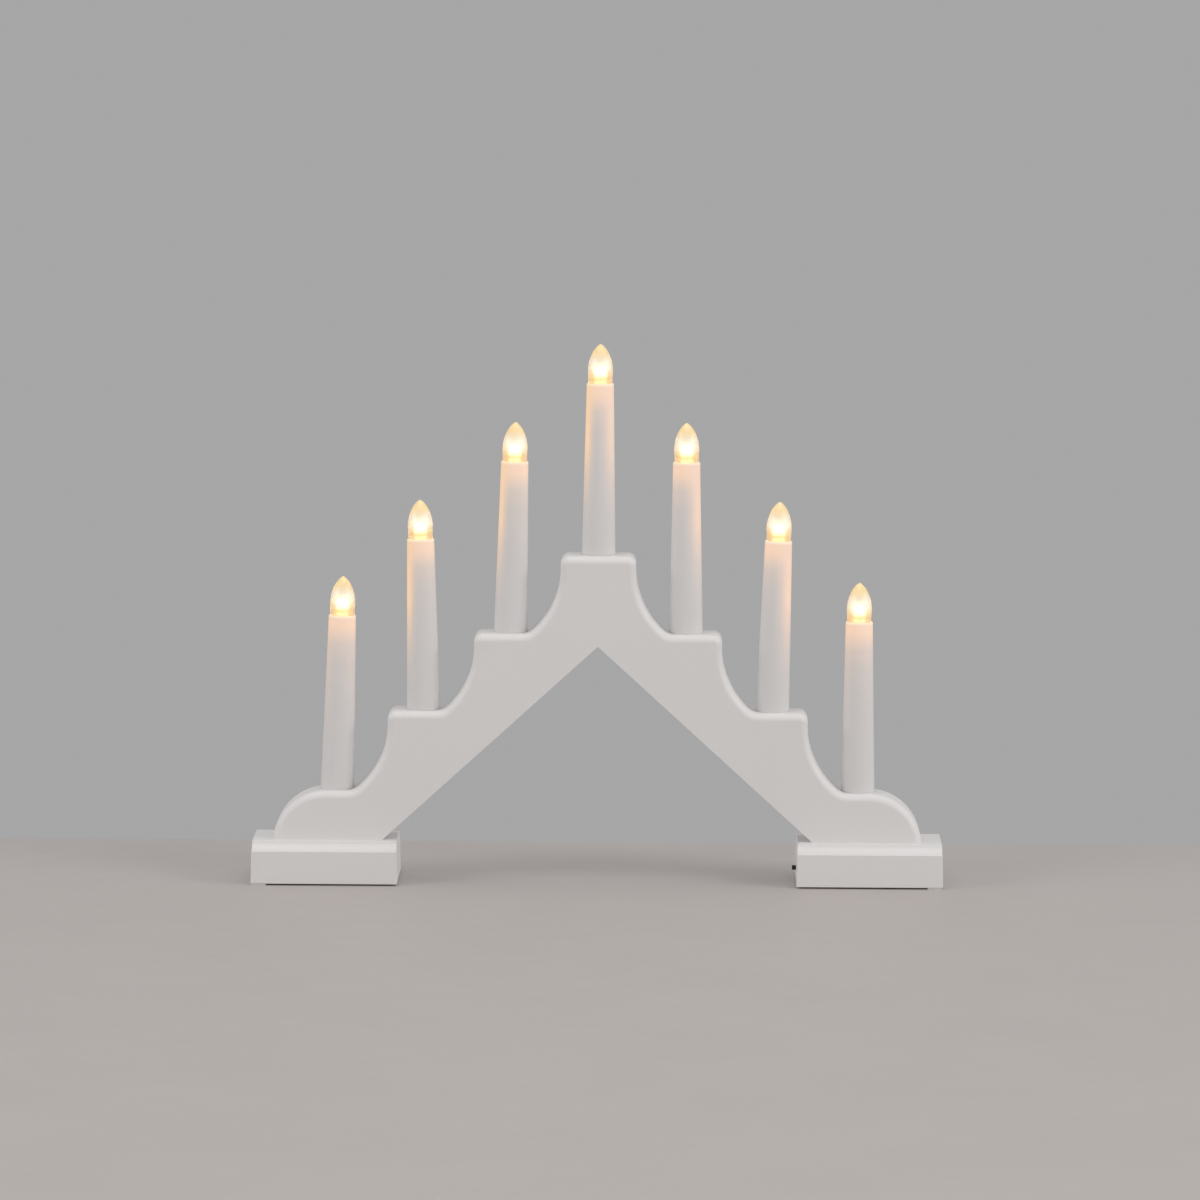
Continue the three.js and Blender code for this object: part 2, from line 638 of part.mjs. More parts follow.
// The moulding that both feet share: open below, grooved for its bottom plate, on four nibs.
function footShell() {
  const grooveHalf = footInside + GROOVE_DEPTH;
  const grooveBottom = plateTop - TONGUE_THICKNESS - SLIP;
  const grooveEnd = footOuter + OVERRUN;
  const groove = box(footInner + FOOT_WALL, grooveEnd, -grooveHalf, grooveHalf, grooveBottom, grooveTop);
  const mouth = box(bayEnd - OVERRUN, grooveEnd, -footInside, footInside, -OVERRUN, grooveTop);
  const nibOut = footHalf - NIB_INSET;
  const nibs = [footInner + NIB_INSET, footOuter - NIB_INSET - NIB_LENGTH].flatMap((x) => [-1, 1].map((s) =>
    box(x, x + NIB_LENGTH, ...ordered(s * nibOut, s * (nibOut - NIB_WIDTH)), 0, RIM_HEIGHT + TOUCH)));
  const roofCut = [roofUnder - OVERRUN, footTop + OVERRUN];
  const holes = [[legBossInner, -legBossY], [legBossOuter, legBossY]]
    .map(([x, y]) => rod('z', throughRadius, ...roofCut, x, y));
  const wireHole = rod('z', WIRE_HOLE_RADIUS, ...roofCut, wireHoleX, 0);
  return footBlock().subtract(join([footCavity(), groove, mouth, wireHole, ...holes])).add(join(nibs));
}

const leadRow = platformHalf - FOOT_WALL - LEAD_RADIUS;

// Rib across the right foot's roof, scalloped over the cells and notched for the lead.
function saddle(share) {
  const x = bayStart + share * (bayEnd - bayStart);
  const span = [x - OVERRUN, x + DIVIDER_THICKNESS + OVERRUN];
  const reach = footInside + OVERRUN;
  const rib = box(x, x + DIVIDER_THICKNESS, -reach, reach, bayWallTop - SADDLE_DROP, roofUnder + OVERRUN);
  const scallops = cellRows.map((y) => rod('x', CELL_RADIUS + SLIP, ...span, y, cellHeight, ROUND_SIDES));
  const notchHalf = LEAD_RADIUS + 2 * SLIP;
  const notch = box(...span, leadRow - notchHalf, leadRow + notchHalf, bayWallTop - SLIP, roofUnder + OVERRUN);
  return rib.subtract(join([...scallops, notch]));
}

// Divider, board rails and saddles, trimmed to the foot's own outline, and the switch window.
function rightFoot() {
  const reach = footInside + OVERRUN;
  const divider = box(dividerStart, bayStart, -reach, reach, grooveTop, bayWallTop);
  const railEnd = boardStart - SLIP;
  const railStart = railEnd - RAIL_THICKNESS;
  const railEdge = boardHalf - RAIL_OVERLAP;
  const rails = [-1, 1].map((s) =>
    box(railStart, railEnd, ...ordered(s * railEdge, s * reach), grooveTop, boardTop));
  const ribs = join([divider, ...rails, ...SADDLE_SHARES.map(saddle)]).intersect(footBlock());
  const windowHalf = (NUB_SIZE + SWITCH_TRAVEL) / 2 + SLIP;
  const windowTall = NUB_SIZE / 2 + SLIP;
  const opening = box(footInner - OVERRUN, switchStart - TOUCH, -windowHalf, windowHalf,
    SWITCH_HEIGHT - windowTall, SWITCH_HEIGHT + windowTall);
  return footShell().add(ribs).subtract(opening);
}

// A bottom plate between two stations, with a tongue along each long edge.
function bottomPlate(from, to) {
  const half = footInside - SLIP;
  const tongue = half + GROOVE_DEPTH;
  const plate = box(from, to, -half, half, PLATE_BOTTOM, plateTop);
  return plate.add(box(from, to, -tongue, tongue, plateTop - TONGUE_THICKNESS, plateTop));
}

// Thumb grooves across the underside, close to the outer end.
function gripGrooves() {
  return join(Array.from({ length: GRIP_GROOVES }, (_, i) => {
    const x = footOuter - GRIP_INSET - i * GRIP_PITCH;
    return box(x, x + GRIP_WIDTH, -GRIP_LENGTH / 2, GRIP_LENGTH / 2, 0, PLATE_BOTTOM + GRIP_DEPTH);
  }));
}

function buildFeet() {
  const plateStart = footInner + FOOT_WALL + SLIP;
  place('right_foot', rightFoot(), whitePlastic);
  place('left_foot', footShell(), whitePlastic).scale.x = -1;
  place('left_base_plate', bottomPlate(plateStart, footOuter), whitePlastic).scale.x = -1;
  place('switch_cover', bottomPlate(plateStart, bayStart), whitePlastic);
  place('battery_lid', bottomPlate(bayStart + SLIP, footOuter).subtract(gripGrooves()), whitePlastic);
}

// Cells lie along X, side by side.
function buildCells() {
  const cell = turned([
    [0, 0],
    [CELL_RADIUS, 0],
    [CELL_RADIUS, CELL_LENGTH - CELL_NUB_HEIGHT],
    [CELL_NUB_RADIUS, CELL_LENGTH - CELL_NUB_HEIGHT],
    [CELL_NUB_RADIUS, CELL_LENGTH],
    [0, CELL_LENGTH],
  ]);
  CELL_FACING.forEach((facing, i) => {
    const minusEnd = facing > 0 ? bayEnd - plusGap - CELL_LENGTH : bayStart + plusGap + CELL_LENGTH;
    const mesh = place(`battery_${i + 1}`, cell, cellSleeve);
    mesh.position.set(minusEnd, cellRows[i], cellHeight);
    mesh.rotation.y = (facing * Math.PI) / 2;
  });
}

// A flat coil that narrows from a contact plate to the cell's minus end.
class TaperCoil extends THREE.Curve {
  constructor(row, start, end) {
    super();
    this.row = row;
    this.start = start;
    this.end = end;
  }

  getPoint(t, target = new THREE.Vector3()) {
    const angle = t * SPRING_TURNS * 2 * Math.PI;
    const radius = THREE.MathUtils.lerp(SPRING_BASE_RADIUS, SPRING_TIP_RADIUS, t);
    const x = THREE.MathUtils.lerp(this.start, this.end, t);
    return target.set(x, this.row + radius * Math.cos(angle), cellHeight + radius * Math.sin(angle));
  }
}

// A contact plate against an end wall of the bay. inward is the way from that wall to the cells.
// Each row that it serves ends in a dimple for a plus end, or in a coil for a minus end.
function contact(wallX, inward, rows) {
  const back = wallX + inward * SEAT;
  const face = back + inward * CONTACT_THICKNESS;
  const low = cellRows[rows[0]] - contactHalf;
  const high = cellRows[rows.at(-1)] + contactHalf;
  const plate = box(...ordered(back, face), low, high, cellHeight - contactHalf, cellHeight + contactHalf);
  const tips = rows.map((r) => {
    if (CELL_FACING[r] === -inward) {
      const dimple = ordered(face - inward * TOUCH, face + inward * DIMPLE_HEIGHT);
      return rod('x', DIMPLE_RADIUS, ...dimple, cellRows[r], cellHeight);
    }
    const tip = wallX + inward * (SPRING_ROOM - TOUCH - SPRING_WIRE / 2);
    const coil = new TaperCoil(cellRows[r], face + inward * (SPRING_WIRE / 4), tip);
    return wire(coil, SPRING_WIRE / 2, SPRING_TURNS * COIL_STEPS, COIL_SIDES);
  });
  return plate.add(join(tips));
}

function buildContacts() {
  place('outer_link_contact', contact(bayEnd, -1, [0, 1]), steel);
  place('positive_contact', contact(bayEnd, -1, [2]), steel);
  place('negative_contact', contact(bayStart, 1, [0]), steel);
  place('inner_link_contact', contact(bayStart, 1, [1, 2]), steel);
}

// Slide switch behind the foot's inner wall, in its on place, soldered to an upright board.
function buildSwitch() {
  const halfLength = SWITCH_LENGTH / 2;
  const halfTall = SWITCH_TALL / 2;
  const pocketTall = halfTall - SWITCH_SKIN;
  const pocketHalf = (SLIDER_BASE + SWITCH_TRAVEL) / 2 + SLIP;
  const nubHalf = NUB_SIZE / 2;
  const slotHalf = (NUB_SIZE + SWITCH_TRAVEL) / 2 + SLIP;
  const slotTall = nubHalf + SLIP / 2;
  const pocketStart = switchStart + SWITCH_SKIN;
  const shoeStart = pocketStart + SLIP / 2;
  const shoeEnd = shoeStart + SLIDER_SHOE;
  const upright = (half) => [SWITCH_HEIGHT - half, SWITCH_HEIGHT + half];
  const can = box(switchStart, switchStart + SWITCH_DEEP, -halfLength, halfLength, ...upright(halfTall));
  const pocket = box(pocketStart, shoeEnd + SLIP, -pocketHalf, pocketHalf, ...upright(pocketTall));
  const slot = box(switchStart - OVERRUN, pocketStart + TOUCH, -slotHalf, slotHalf, ...upright(slotTall));
  place('switch_body', can.subtract(pocket.add(slot)), switchMetal);
  const onPlace = -SWITCH_TRAVEL / 2;
  const across = (half) => [onPlace - half, onPlace + half];
  const shoe = box(shoeStart, shoeEnd, ...across(SLIDER_BASE / 2), ...upright(pocketTall - SLIP / 2));
  const nub = box(footInner - NUB_REACH, shoeStart + TOUCH, ...across(nubHalf), ...upright(nubHalf));
  place('switch_slider', shoe.add(nub), blackPlastic);
  const boardEnd = boardStart + BOARD_THICKNESS;
  const board = box(boardStart, boardEnd, -boardHalf, boardHalf, boardBottom, boardTop);
  place('circuit_board', board, boardResin);
}

// Where the leads of a candle's LED end, in the whole object's frame.
function leadEnd({ x, step, lean, lift }) {
  const angle = THREE.MathUtils.degToRad(lean);
  const reach = ledBase - LED_LEAD_LENGTH - SLIP;
  return new THREE.Vector3(x + reach * Math.sin(angle), 0, levels[step] + lift + reach * Math.cos(angle));
}

const boardX = boardStart + BOARD_THICKNESS / 2;

// The loom runs just above the valley wall from one leg to the other, with a riser to each lamp
// and a drop through the sole into the right foot.
function wiringLoom() {
  const slopeAt = (x) => wallAt(Math.max(Math.abs(x), LOOM_PEAK_HALF)) + LOOM_LIFT;
  const heightAt = (x) => Math.max(slopeAt(x), loomFloor);
  const bend = (wallAt(0) + LOOM_LIFT - loomFloor) / Math.tan(valleySlope);
  const end = candles.at(-1).x + LOOM_RADIUS;
  const half = [LOOM_PEAK_HALF, bend / 2, bend - LOOM_BEND, bend + LOOM_BEND, end];
  const stations = [...[...half].reverse().map((x) => -x), 0, ...half];
  const run = wire(route(stations.map((x) => [x, 0, heightAt(x)])), LOOM_RADIUS);
  const risers = candles.map((candle) => {
    const start = new THREE.Vector3(candle.x, 0, heightAt(candle.x));
    return wire(new THREE.LineCurve3(start, leadEnd(candle)), RISER_RADIUS, 1);
  });
  const underRoof = roofUnder - RISER_RADIUS - SEAT;
  const drop = route([
    [boardX, 0, boardTop + SLIP],
    [boardX, 0, boardTop + 2 * SLIP],
    [boardX + LEAD_BEND, 0, underRoof],
    [(boardX + wireHoleX) / 2, 0, underRoof],
    [wireHoleX - LEAD_BEND, 0, underRoof],
    [wireHoleX, 0, underRoof + LEAD_BEND],
    [wireHoleX, 0, loomFloor],
  ]);
  return join([run, ...risers, wire(drop, RISER_RADIUS)]);
}

// The lead from the plus contact crosses the bay under the roof to the board.
function positiveLead() {
  const start = bayEnd - SEAT - CONTACT_THICKNESS - SLIP - LEAD_RADIUS;
  const underRoof = roofUnder - LEAD_RADIUS - SLIP;
  return wire(route([
    [start, leadRow, cellHeight + contactHalf - LEAD_RADIUS],
    [start, leadRow, underRoof - LEAD_BEND],
    [start - LEAD_BEND, leadRow, underRoof],
    [boardX + LEAD_BEND, leadRow, underRoof],
    [boardX, leadRow, underRoof - LEAD_RADIUS],
    [boardX, leadRow, boardTop + SLIP],
  ]), LEAD_RADIUS);
}

buildArch();
buildScrews();
buildCandles();
buildFeet();
buildCells();
buildContacts();
buildSwitch();
place('wiring_loom', wiringLoom(), wireSheath);
place('positive_lead', positiveLead(), wireSheath);

export default candlestick;
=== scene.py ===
import math

import bmesh
import bpy
from bpy.props import FloatProperty, FloatVectorProperty, IntProperty, PointerProperty
from mathutils import Matrix, Quaternion, Vector


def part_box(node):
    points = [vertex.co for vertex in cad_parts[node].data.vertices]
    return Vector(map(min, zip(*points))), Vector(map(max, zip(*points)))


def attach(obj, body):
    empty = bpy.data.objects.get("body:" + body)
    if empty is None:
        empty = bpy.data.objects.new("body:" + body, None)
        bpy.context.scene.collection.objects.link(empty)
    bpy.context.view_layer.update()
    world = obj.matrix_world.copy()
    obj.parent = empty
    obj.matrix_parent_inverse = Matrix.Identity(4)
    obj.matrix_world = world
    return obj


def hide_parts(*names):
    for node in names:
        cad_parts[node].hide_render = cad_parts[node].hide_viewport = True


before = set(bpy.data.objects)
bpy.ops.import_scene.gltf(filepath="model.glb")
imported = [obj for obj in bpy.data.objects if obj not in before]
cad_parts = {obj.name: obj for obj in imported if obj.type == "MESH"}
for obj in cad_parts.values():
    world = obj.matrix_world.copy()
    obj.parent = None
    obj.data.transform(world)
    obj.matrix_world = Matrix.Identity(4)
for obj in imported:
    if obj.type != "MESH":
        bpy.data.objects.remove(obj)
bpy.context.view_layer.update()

bl_info = {
    "name": "Advent Candlestick",
    "version": (1, 0, 0),
    "blender": (4, 5, 0),
    "location": "3D View > Sidebar > Candlestick",
    "description": "Stepped seven-light candlestick with its mouldings, candles, lamps and stage",
    "category": "Add Mesh",
}

MM = 0.001
QUARTER = math.pi / 2
# Points nearer than this are one, in metres
TOUCH = 1e-6

# Each candle from left to right: its step, its lean in degrees, and its lift in the socket in millimetres
STANDS = (
    (0, 1.6, 1.6),
    (1, -1.1, 0),
    (2, 1.2, 0),
    (3, 0.3, 0),
    (2, -0.1, 0),
    (1, 1.65, 0),
    (0, 0, 0),
)

# Painted glow: how strongly each lamp's light is painted on the left and the right side of its candle
PAINTED_GLOW_SIDES = (
    (0.15, 0.1),
    (1.0, 0.0),
    (0.9, 0.1),
    (1.0, 0.75),
    (0.0, 0.85),
    (0.0, 1.0),
    (0.1, 0.05),
)

# Light of the room, and the soft boxes round the table: the place, the height aimed at, and the width and
# depth in metres, with the power in watts
ROOM_LIGHT = (1.0, 0.99, 0.975)
ROOM_STRENGTH = 0.55
LAMPS = {
    "overhead": ((0, -0.25, 1.9), 0, (1.8, 1.8), 9),
    "front_fill": ((0.3, -3.2, 1.45), 0.1, (1.6, 1.2), 3),
    "right_fill": ((3.1, -1.5, 1.5), 0.1, (2.0, 1.0), 50),
    "left_fill": ((-3.1, -1.5, 1.5), 0.1, (2.0, 1.0), 36),
}

# The smaller sizes that follow are in millimetres

# How far a cut runs past what it cuts, and how deep a rib sinks in the wall that it joins
OVERRUN = 0.5
SEAT = 0.3

# Casings: how far the cove beside each candle runs past the edge of its socket, lowest step first
COVE_LAPS = (0.22, -1.23, -0.48)
SOCKET_DEPTH = 6
SOCKET_CLEAR = 2.9
BOSS_RADIUS = 3.6
BOSS_START = 0.02
BOSS_END = 8.5
# What is bored in a boss on each side of the seam: radius, start and end along Y, and facets
BORES = {
    -1: {"pilot": (1.1, -7.5, 0.5, 20)},
    1: {"seat": (2.7, 5, 10.5, 40), "bore": (1.5, -0.5, 5.5, 24)},
}
CORNER_STEPS = 8
COVE_STEPS = 22
BLEND_STEPS = 4
SHOULDER_STEPS = 26
ROUND_STEPS = 7

# Feet, with the battery bay and the switch's window in the right one
FOOT_COVE_STEPS = 18
NIB_LENGTH = 6
NIB_WIDTH = 1.2
OUTER_NIB_INSET = 0.4
INNER_NIB_INSET = 0.5
INNER_NIB_ASIDE = 8
PARTITION = 1.2
WIRE_ROOM = 2.4
RIB_DROP = 3.65
RIB_SHARES = (0.29, 0.79)
SCALLOP_RADIUS = 5.55
WINDOW_DEPTH = 2.2
WINDOW_HALF_WIDTH = 2.2
WINDOW_HALF_HEIGHT = 1.2

# Bottom plates: their rails run in the feet's grooves, and the lid has finger grooves underneath
RAIL_WIDTH = 0.9
RAIL_THICKNESS = 0.8
PLATE_ROOM = 0.3
PLATE_EDGE = 0.25
RAIL_EDGE = 0.12
GRIP_COUNT = 5
GRIP_PITCH = 1.6
GRIP_INSET = 9.2
GRIP_RADIUS = 0.5
GRIP_HALF = 6
GRIP_HEIGHT = 0.35

# Candle tubes
PLUG_LENGTH = 3
HOLDER_THICKNESS = 2.6
HOLDER_PLAY = 0.3
LEDGE = 0.5
MOUTH_ROUND = 0.2
FLANGE_HALF = 8.8
FLANGE_THICKNESS = 1.6
FLANGE_EDGE = 0.2

# Flames: a plug in the tube, a short band, and a bore over the lamp
PLUG_PLAY = 0.15
BORE_RADIUS = 3.3
BORE_RISE = 1.2
BAND_LIFT = 0.2
BAND_HEIGHT = 4.6
BAND_FADE = 1.5

# Lamps: a lens on a collar, with two leads
COLLAR = 0.4
COLLAR_HEIGHT = 0.8
LEAD_LENGTH = 7
LEAD_HALF = 0.25
LEAD_ASIDE = 1.27
LEAD_EDGE = 0.05

# Screws: the radii of the head run from its flat over its rounded rim down to its seat
HEAD_HEIGHT = 1.6
HEAD_RADII = (1.9, 2.2, 2.28, 2.4)
HEAD_CROWN = 0.4
SHANK_RADIUS = 1.0
ROOT_RADIUS = 0.75
TIP_RADIUS = 0.8
TIP_LENGTH = 1
THREAD_PITCH = 0.8
THREAD_STOP = 2
SLOT_HALF_LENGTH = 1.35
SLOT_HALF_WIDTH = 0.28
SLOT_BOTTOM = -0.75
SLOT_EDGE = 0.05
# Turn of the first screw's slots, and from one screw to the next, in degrees
FIRST_TURN = 8
NEXT_TURN = 23

# Switch slider: a shoe inside the foot and a square nub through its window
SHOE_DEPTH = 1.2
NUB_HALF = 0.9
NUB_SINK = 0.1


def length(name, description, millimetres):
    """A size given in millimetres."""
    return FloatProperty(
        name=name,
        description=description,
        default=millimetres * MM,
        unit="LENGTH",
        subtype="DISTANCE",
        precision=5,
    )


def colour(name, description, red, green, blue):
    """A colour given by its three parts."""
    return FloatVectorProperty(
        name=name,
        description=description,
        default=(red, green, blue),
        size=3,
        min=0,
        max=1,
        subtype="COLOR",
    )


class ArchSizes(bpy.types.PropertyGroup):
    wall: length("Wall", "Thickness of the moulded halves", 2)
    edge_round: length("Edge round", "Round along the steps, front and back", 3.2)
    corner_round: length("Corner round", "Round at the outer corner of each step", 3.6)
    first_rise: length("First rise", "Height between the two lowest steps", 34.2)
    step_rise: length("Step rise", "Height between the other steps", 33.1)
    top_half: length("Top half width", "Half the width of the top block", 15.9)
    third_side: length("Third block side", "Distance of the third block's side from the middle", 52.3)
    second_side: length("Second block side", "Distance of the second block's side from the middle", 88.7)
    low_side: length("Lowest side", "Distance of the outer side from the middle", 137.2)
    shoulder: length("Shoulder", "Radius of the outer shoulder", 22.5)
    cove_drop: length("Cove drop", "Upright face over each cove", 5.8)
    cove_blend: length("Cove blend", "Run over which a cove flows into its step", 2.4)
    valley_height: length("Valley height", "Height of the peak under the arch", 101.1)
    valley_half: length("Valley half width", "Half the width under the arch at its sole", 90.8)
    seam: length("Seam", "Break of the edge where the two halves meet", 0.12)
    socket: length("Socket", "Radius of a candle socket", 7.22)


class FootSizes(bpy.types.PropertyGroup):
    wall: length("Wall", "Thickness of the foot's sides", 1.8)
    roof: length("Roof", "Thickness of the foot's top", 2.9)
    cove_depth: length("Cove depth", "How far the platform stands back from the face", 5.3)
    cove_height: length("Cove height", "How far the platform stands over the face", 3.7)
    rim: length("Rim", "Height of the rim over the table", 0.6)
    edge: length("Edge break", "Round on the moulded edges", 0.35)
    draft: length("Draft", "How far the ends lean in at the top", 0.4)


class CandleSizes(bpy.types.PropertyGroup):
    height: length("Height", "Candle over its step", 72.3)
    foot_radius: length("Foot radius", "Radius at the step", 7.1)
    top_radius: length("Top radius", "Radius at the rim", 5.7)
    wall: length("Wall", "Thickness of the tube", 1.0)
    rim_round: length("Rim round", "Round on the rim", 0.45)
    sink: length("Sink", "Part of the tube below its step", 10)
    flame_height: length("Flame height", "Flame over the rim", 16.5)
    flame_radius: length("Flame radius", "Widest radius of the flame", 5.33)
    flame_taper: FloatProperty(
        name="Flame taper", description="How fast the flame narrows to its tip", default=1.4, min=0.5
    )
    band_radius: length("Band radius", "Radius of the flame at its foot", 5.15)
    lamp_radius: length("Lamp radius", "Radius of the lamp's lens", 2.5)
    lamp_rise: length("Lamp rise", "Lamp over the rim", 7.5)
    lamp_height: length("Lamp height", "Height of the lamp's lens", 8.7)
    sides: IntProperty(name="Sides", description="Facets round a candle", default=64, min=16)


class Finishes(bpy.types.PropertyGroup):
    casing: colour("Casing", "White moulded plastic", 0.70, 0.685, 0.68)
    candle: colour("Candle", "Plastic of the candles", 0.67, 0.655, 0.652)
    flame: colour("Flame", "Tint of the clear flames", 1.0, 0.965, 0.88)
    table: colour("Table", "Pale table top", 0.476, 0.438, 0.425)
    wall: colour("Wall", "Plain wall behind the table", 0.384, 0.384, 0.385)


class StageSizes(bpy.types.PropertyGroup):
    table_width: length("Table width", "Table from left to right", 2400)
    table_depth: length("Table depth", "Table from front to back", 1600)
    table_back: length("Table back", "Table behind the middle", 102)
    table_thickness: length("Table thickness", "Thickness of the table top", 40)
    table_edge: length("Table edge", "Round on the table's edges", 3)
    lens: FloatProperty(name="Lens", description="Focal length in millimetres", default=189.7)
    distance: length("Camera distance", "Camera in front of the middle", 2650)
    camera_side: length("Camera side", "Camera to the right of the middle", 29.8)
    camera_height: length("Camera height", "Camera over the table", 447.4)
    yaw: FloatProperty(name="Yaw", description="Turn to the left in degrees", default=0.63)
    pitch: FloatProperty(name="Pitch", description="Tilt up from straight down in degrees", default=82.95)
    roll: FloatProperty(name="Roll", description="Turn about the view in degrees", default=0.27)


def sizes(group):
    """The scene's settings in one of the groups."""
    return getattr(bpy.context.scene, "candlestick_" + group)


# Modelling helpers


def deselect():
    """Leave edit mode and select nothing."""
    if bpy.context.object and bpy.context.object.mode != "OBJECT":
        bpy.ops.object.mode_set(mode="OBJECT")
    bpy.ops.object.select_all(action="DESELECT")


def only(piece):
    """Select and activate one object alone."""
    deselect()
    piece.select_set(True)
    bpy.context.view_layer.objects.active = piece


def edit(piece):
    """Enter edit mode with nothing selected."""
    only(piece)
    bpy.ops.object.mode_set(mode="EDIT")
    bpy.ops.mesh.select_mode(type="VERT")
    bpy.ops.mesh.select_all(action="DESELECT")


def middle(element):
    """Mean of the corners of an edge or a face."""
    return sum((corner.co for corner in element.verts), Vector()) / len(element.verts)


def pick(piece, kind, test):
    """In edit mode, select the edges or faces that pass the test, and no others."""
    bpy.ops.mesh.select_mode(type=kind)
    bpy.ops.mesh.select_all(action="DESELECT")
    shape = bmesh.from_edit_mesh(piece.data)
    for element in shape.edges if kind == "EDGE" else shape.faces:
        if test(element):
            element.select = True
    shape.select_flush_mode()
    bmesh.update_edit_mesh(piece.data)


def close_up(threshold=TOUCH):
    """In edit mode, merge the doubles all over and point every face outwards."""
    bpy.ops.mesh.select_all(action="SELECT")
    bpy.ops.mesh.remove_doubles(threshold=threshold)
    bpy.ops.mesh.normals_make_consistent(inside=False)


class Pen:
    """Draws an outline in metres, in the plane XZ or YZ, by extruding and spinning one vertex."""

    def __init__(self, name, u, v, plane="XZ", at=0.0):
        self.across = Vector((1, 0, 0)) if plane == "XZ" else Vector((0, 1, 0))
        normal = Vector((0, 1, 0)) if plane == "XZ" else Vector((1, 0, 0))
        deselect()
        start = self.across * u + Vector((0, 0, v)) + normal * at
        bpy.ops.mesh.primitive_plane_add(size=MM, location=start)
        self.piece = bpy.context.object
        self.piece.name = self.piece.data.name = name
        bpy.ops.object.transform_apply(location=True, rotation=False, scale=False)
        bpy.ops.object.mode_set(mode="EDIT")
        bpy.ops.mesh.select_mode(type="VERT")
        bpy.ops.mesh.select_all(action="SELECT")
        bpy.ops.mesh.merge(type="CENTER")
        self.u, self.v = u, v

    def line(self, u, v):
        """A straight edge to a place, across and up."""
        step = self.across * (u - self.u) + Vector((0, 0, v - self.v))
        bpy.ops.mesh.extrude_vertices_move(TRANSFORM_OT_translate={"value": step})
        self.u, self.v = u, v

    def arc(self, u, v, turn, steps):
        """Turn about a centre in the plane Y 0, counter-clockwise as seen from the front."""
        bpy.ops.mesh.spin(steps=steps, angle=turn, center=(u, 0, v), axis=(0, 1, 0))
        du, dv = self.u - u, self.v - v
        self.u = u + du * math.cos(turn) - dv * math.sin(turn)
        self.v = v + du * math.sin(turn) + dv * math.cos(turn)

    def curve(self, kink, end, steps):
        """Flow from here to the end, pulled towards the kink."""
        u0, v0 = self.u, self.v
        for i in range(1, steps + 1):
            t = i / steps
            a, b, c = (1 - t) ** 2, 2 * t * (1 - t), t * t
            self.line(a * u0 + b * kink[0] + c * end[0], a * v0 + b * kink[1] + c * end[1])

    def mirror(self, axis):
        """Add the other half of the outline."""
        bpy.ops.object.mode_set(mode="OBJECT")
        bpy.ops.object.modifier_add(type="MIRROR")
        mirror = self.piece.modifiers[-1]
        mirror.use_axis = (axis == "X", axis == "Y", False)
        mirror.merge_threshold = TOUCH
        bpy.ops.object.modifier_apply(modifier=mirror.name)
        bpy.ops.object.mode_set(mode="EDIT")

    def sweep(self, way):
        """Fill the closed outline and extrude it."""
        bpy.ops.mesh.select_all(action="SELECT")
        bpy.ops.mesh.remove_doubles(threshold=TOUCH)
        bpy.ops.mesh.edge_face_add()
        bpy.ops.mesh.extrude_region_move(TRANSFORM_OT_translate={"value": way})
        bpy.ops.mesh.select_all(action="SELECT")
        bpy.ops.mesh.normals_make_consistent(inside=False)
        bpy.ops.object.mode_set(mode="OBJECT")
        return self.piece

    def lathe(self, steps):
        """Spin the outline right round the Z axis and close it."""
        bpy.ops.mesh.select_all(action="SELECT")
        bpy.ops.mesh.spin(steps=steps, angle=2 * math.pi, center=(0, 0, 0), axis=(0, 0, 1))
        close_up(2 * TOUCH)
        bpy.ops.object.mode_set(mode="OBJECT")
        return self.piece


def block(name, corner, opposite, edge=0.0, segments=2):
    """A box between two opposite corners, in millimetres, with its edges rounded."""
    deselect()
    corner, opposite = Vector(corner) * MM, Vector(opposite) * MM
    spans = [abs(span) for span in opposite - corner]
    bpy.ops.mesh.primitive_cube_add(size=1, location=(corner + opposite) / 2, scale=spans)
    piece = bpy.context.object
    piece.name = piece.data.name = name
    bpy.ops.object.transform_apply(location=True, rotation=False, scale=True)
    if edge:
        bpy.ops.object.mode_set(mode="EDIT")
        bpy.ops.mesh.select_all(action="SELECT")
        bpy.ops.mesh.bevel(offset=edge * MM, segments=segments, affect="EDGES")
        bpy.ops.object.mode_set(mode="OBJECT")
    return piece


def rod(name, radius, start, end, sides=48):
    """A round bar from one point to another, in millimetres."""
    deselect()
    start, end = Vector(start) * MM, Vector(end) * MM
    way = end - start
    turn = way.to_track_quat("Z", "Y").to_euler()
    bpy.ops.mesh.primitive_cylinder_add(
        vertices=sides, radius=radius * MM, depth=way.length, location=(start + end) / 2, rotation=turn
    )
    piece = bpy.context.object
    piece.name = piece.data.name = name
    bpy.ops.object.transform_apply(location=True, rotation=True, scale=False)
    return piece


def gather(pieces):
    """Join several objects that stand apart into the first one."""
    deselect()
    for piece in pieces:
        piece.select_set(True)
    bpy.context.view_layer.objects.active = pieces[0]
    bpy.ops.object.join()
    return pieces[0]


def combine(piece, others, operation):
    """Join or cut a piece with others, and remove them."""
    tool = gather(others)
    only(piece)
    bpy.ops.object.modifier_add(type="BOOLEAN")
    change = piece.modifiers[-1]
    change.operation = operation
    change.solver = "EXACT"
    change.object = tool
    bpy.ops.object.modifier_apply(modifier=change.name)
    only(tool)
    bpy.ops.object.delete()
    if not piece.data.polygons:
        raise RuntimeError(piece.name + " came out empty")
    return piece


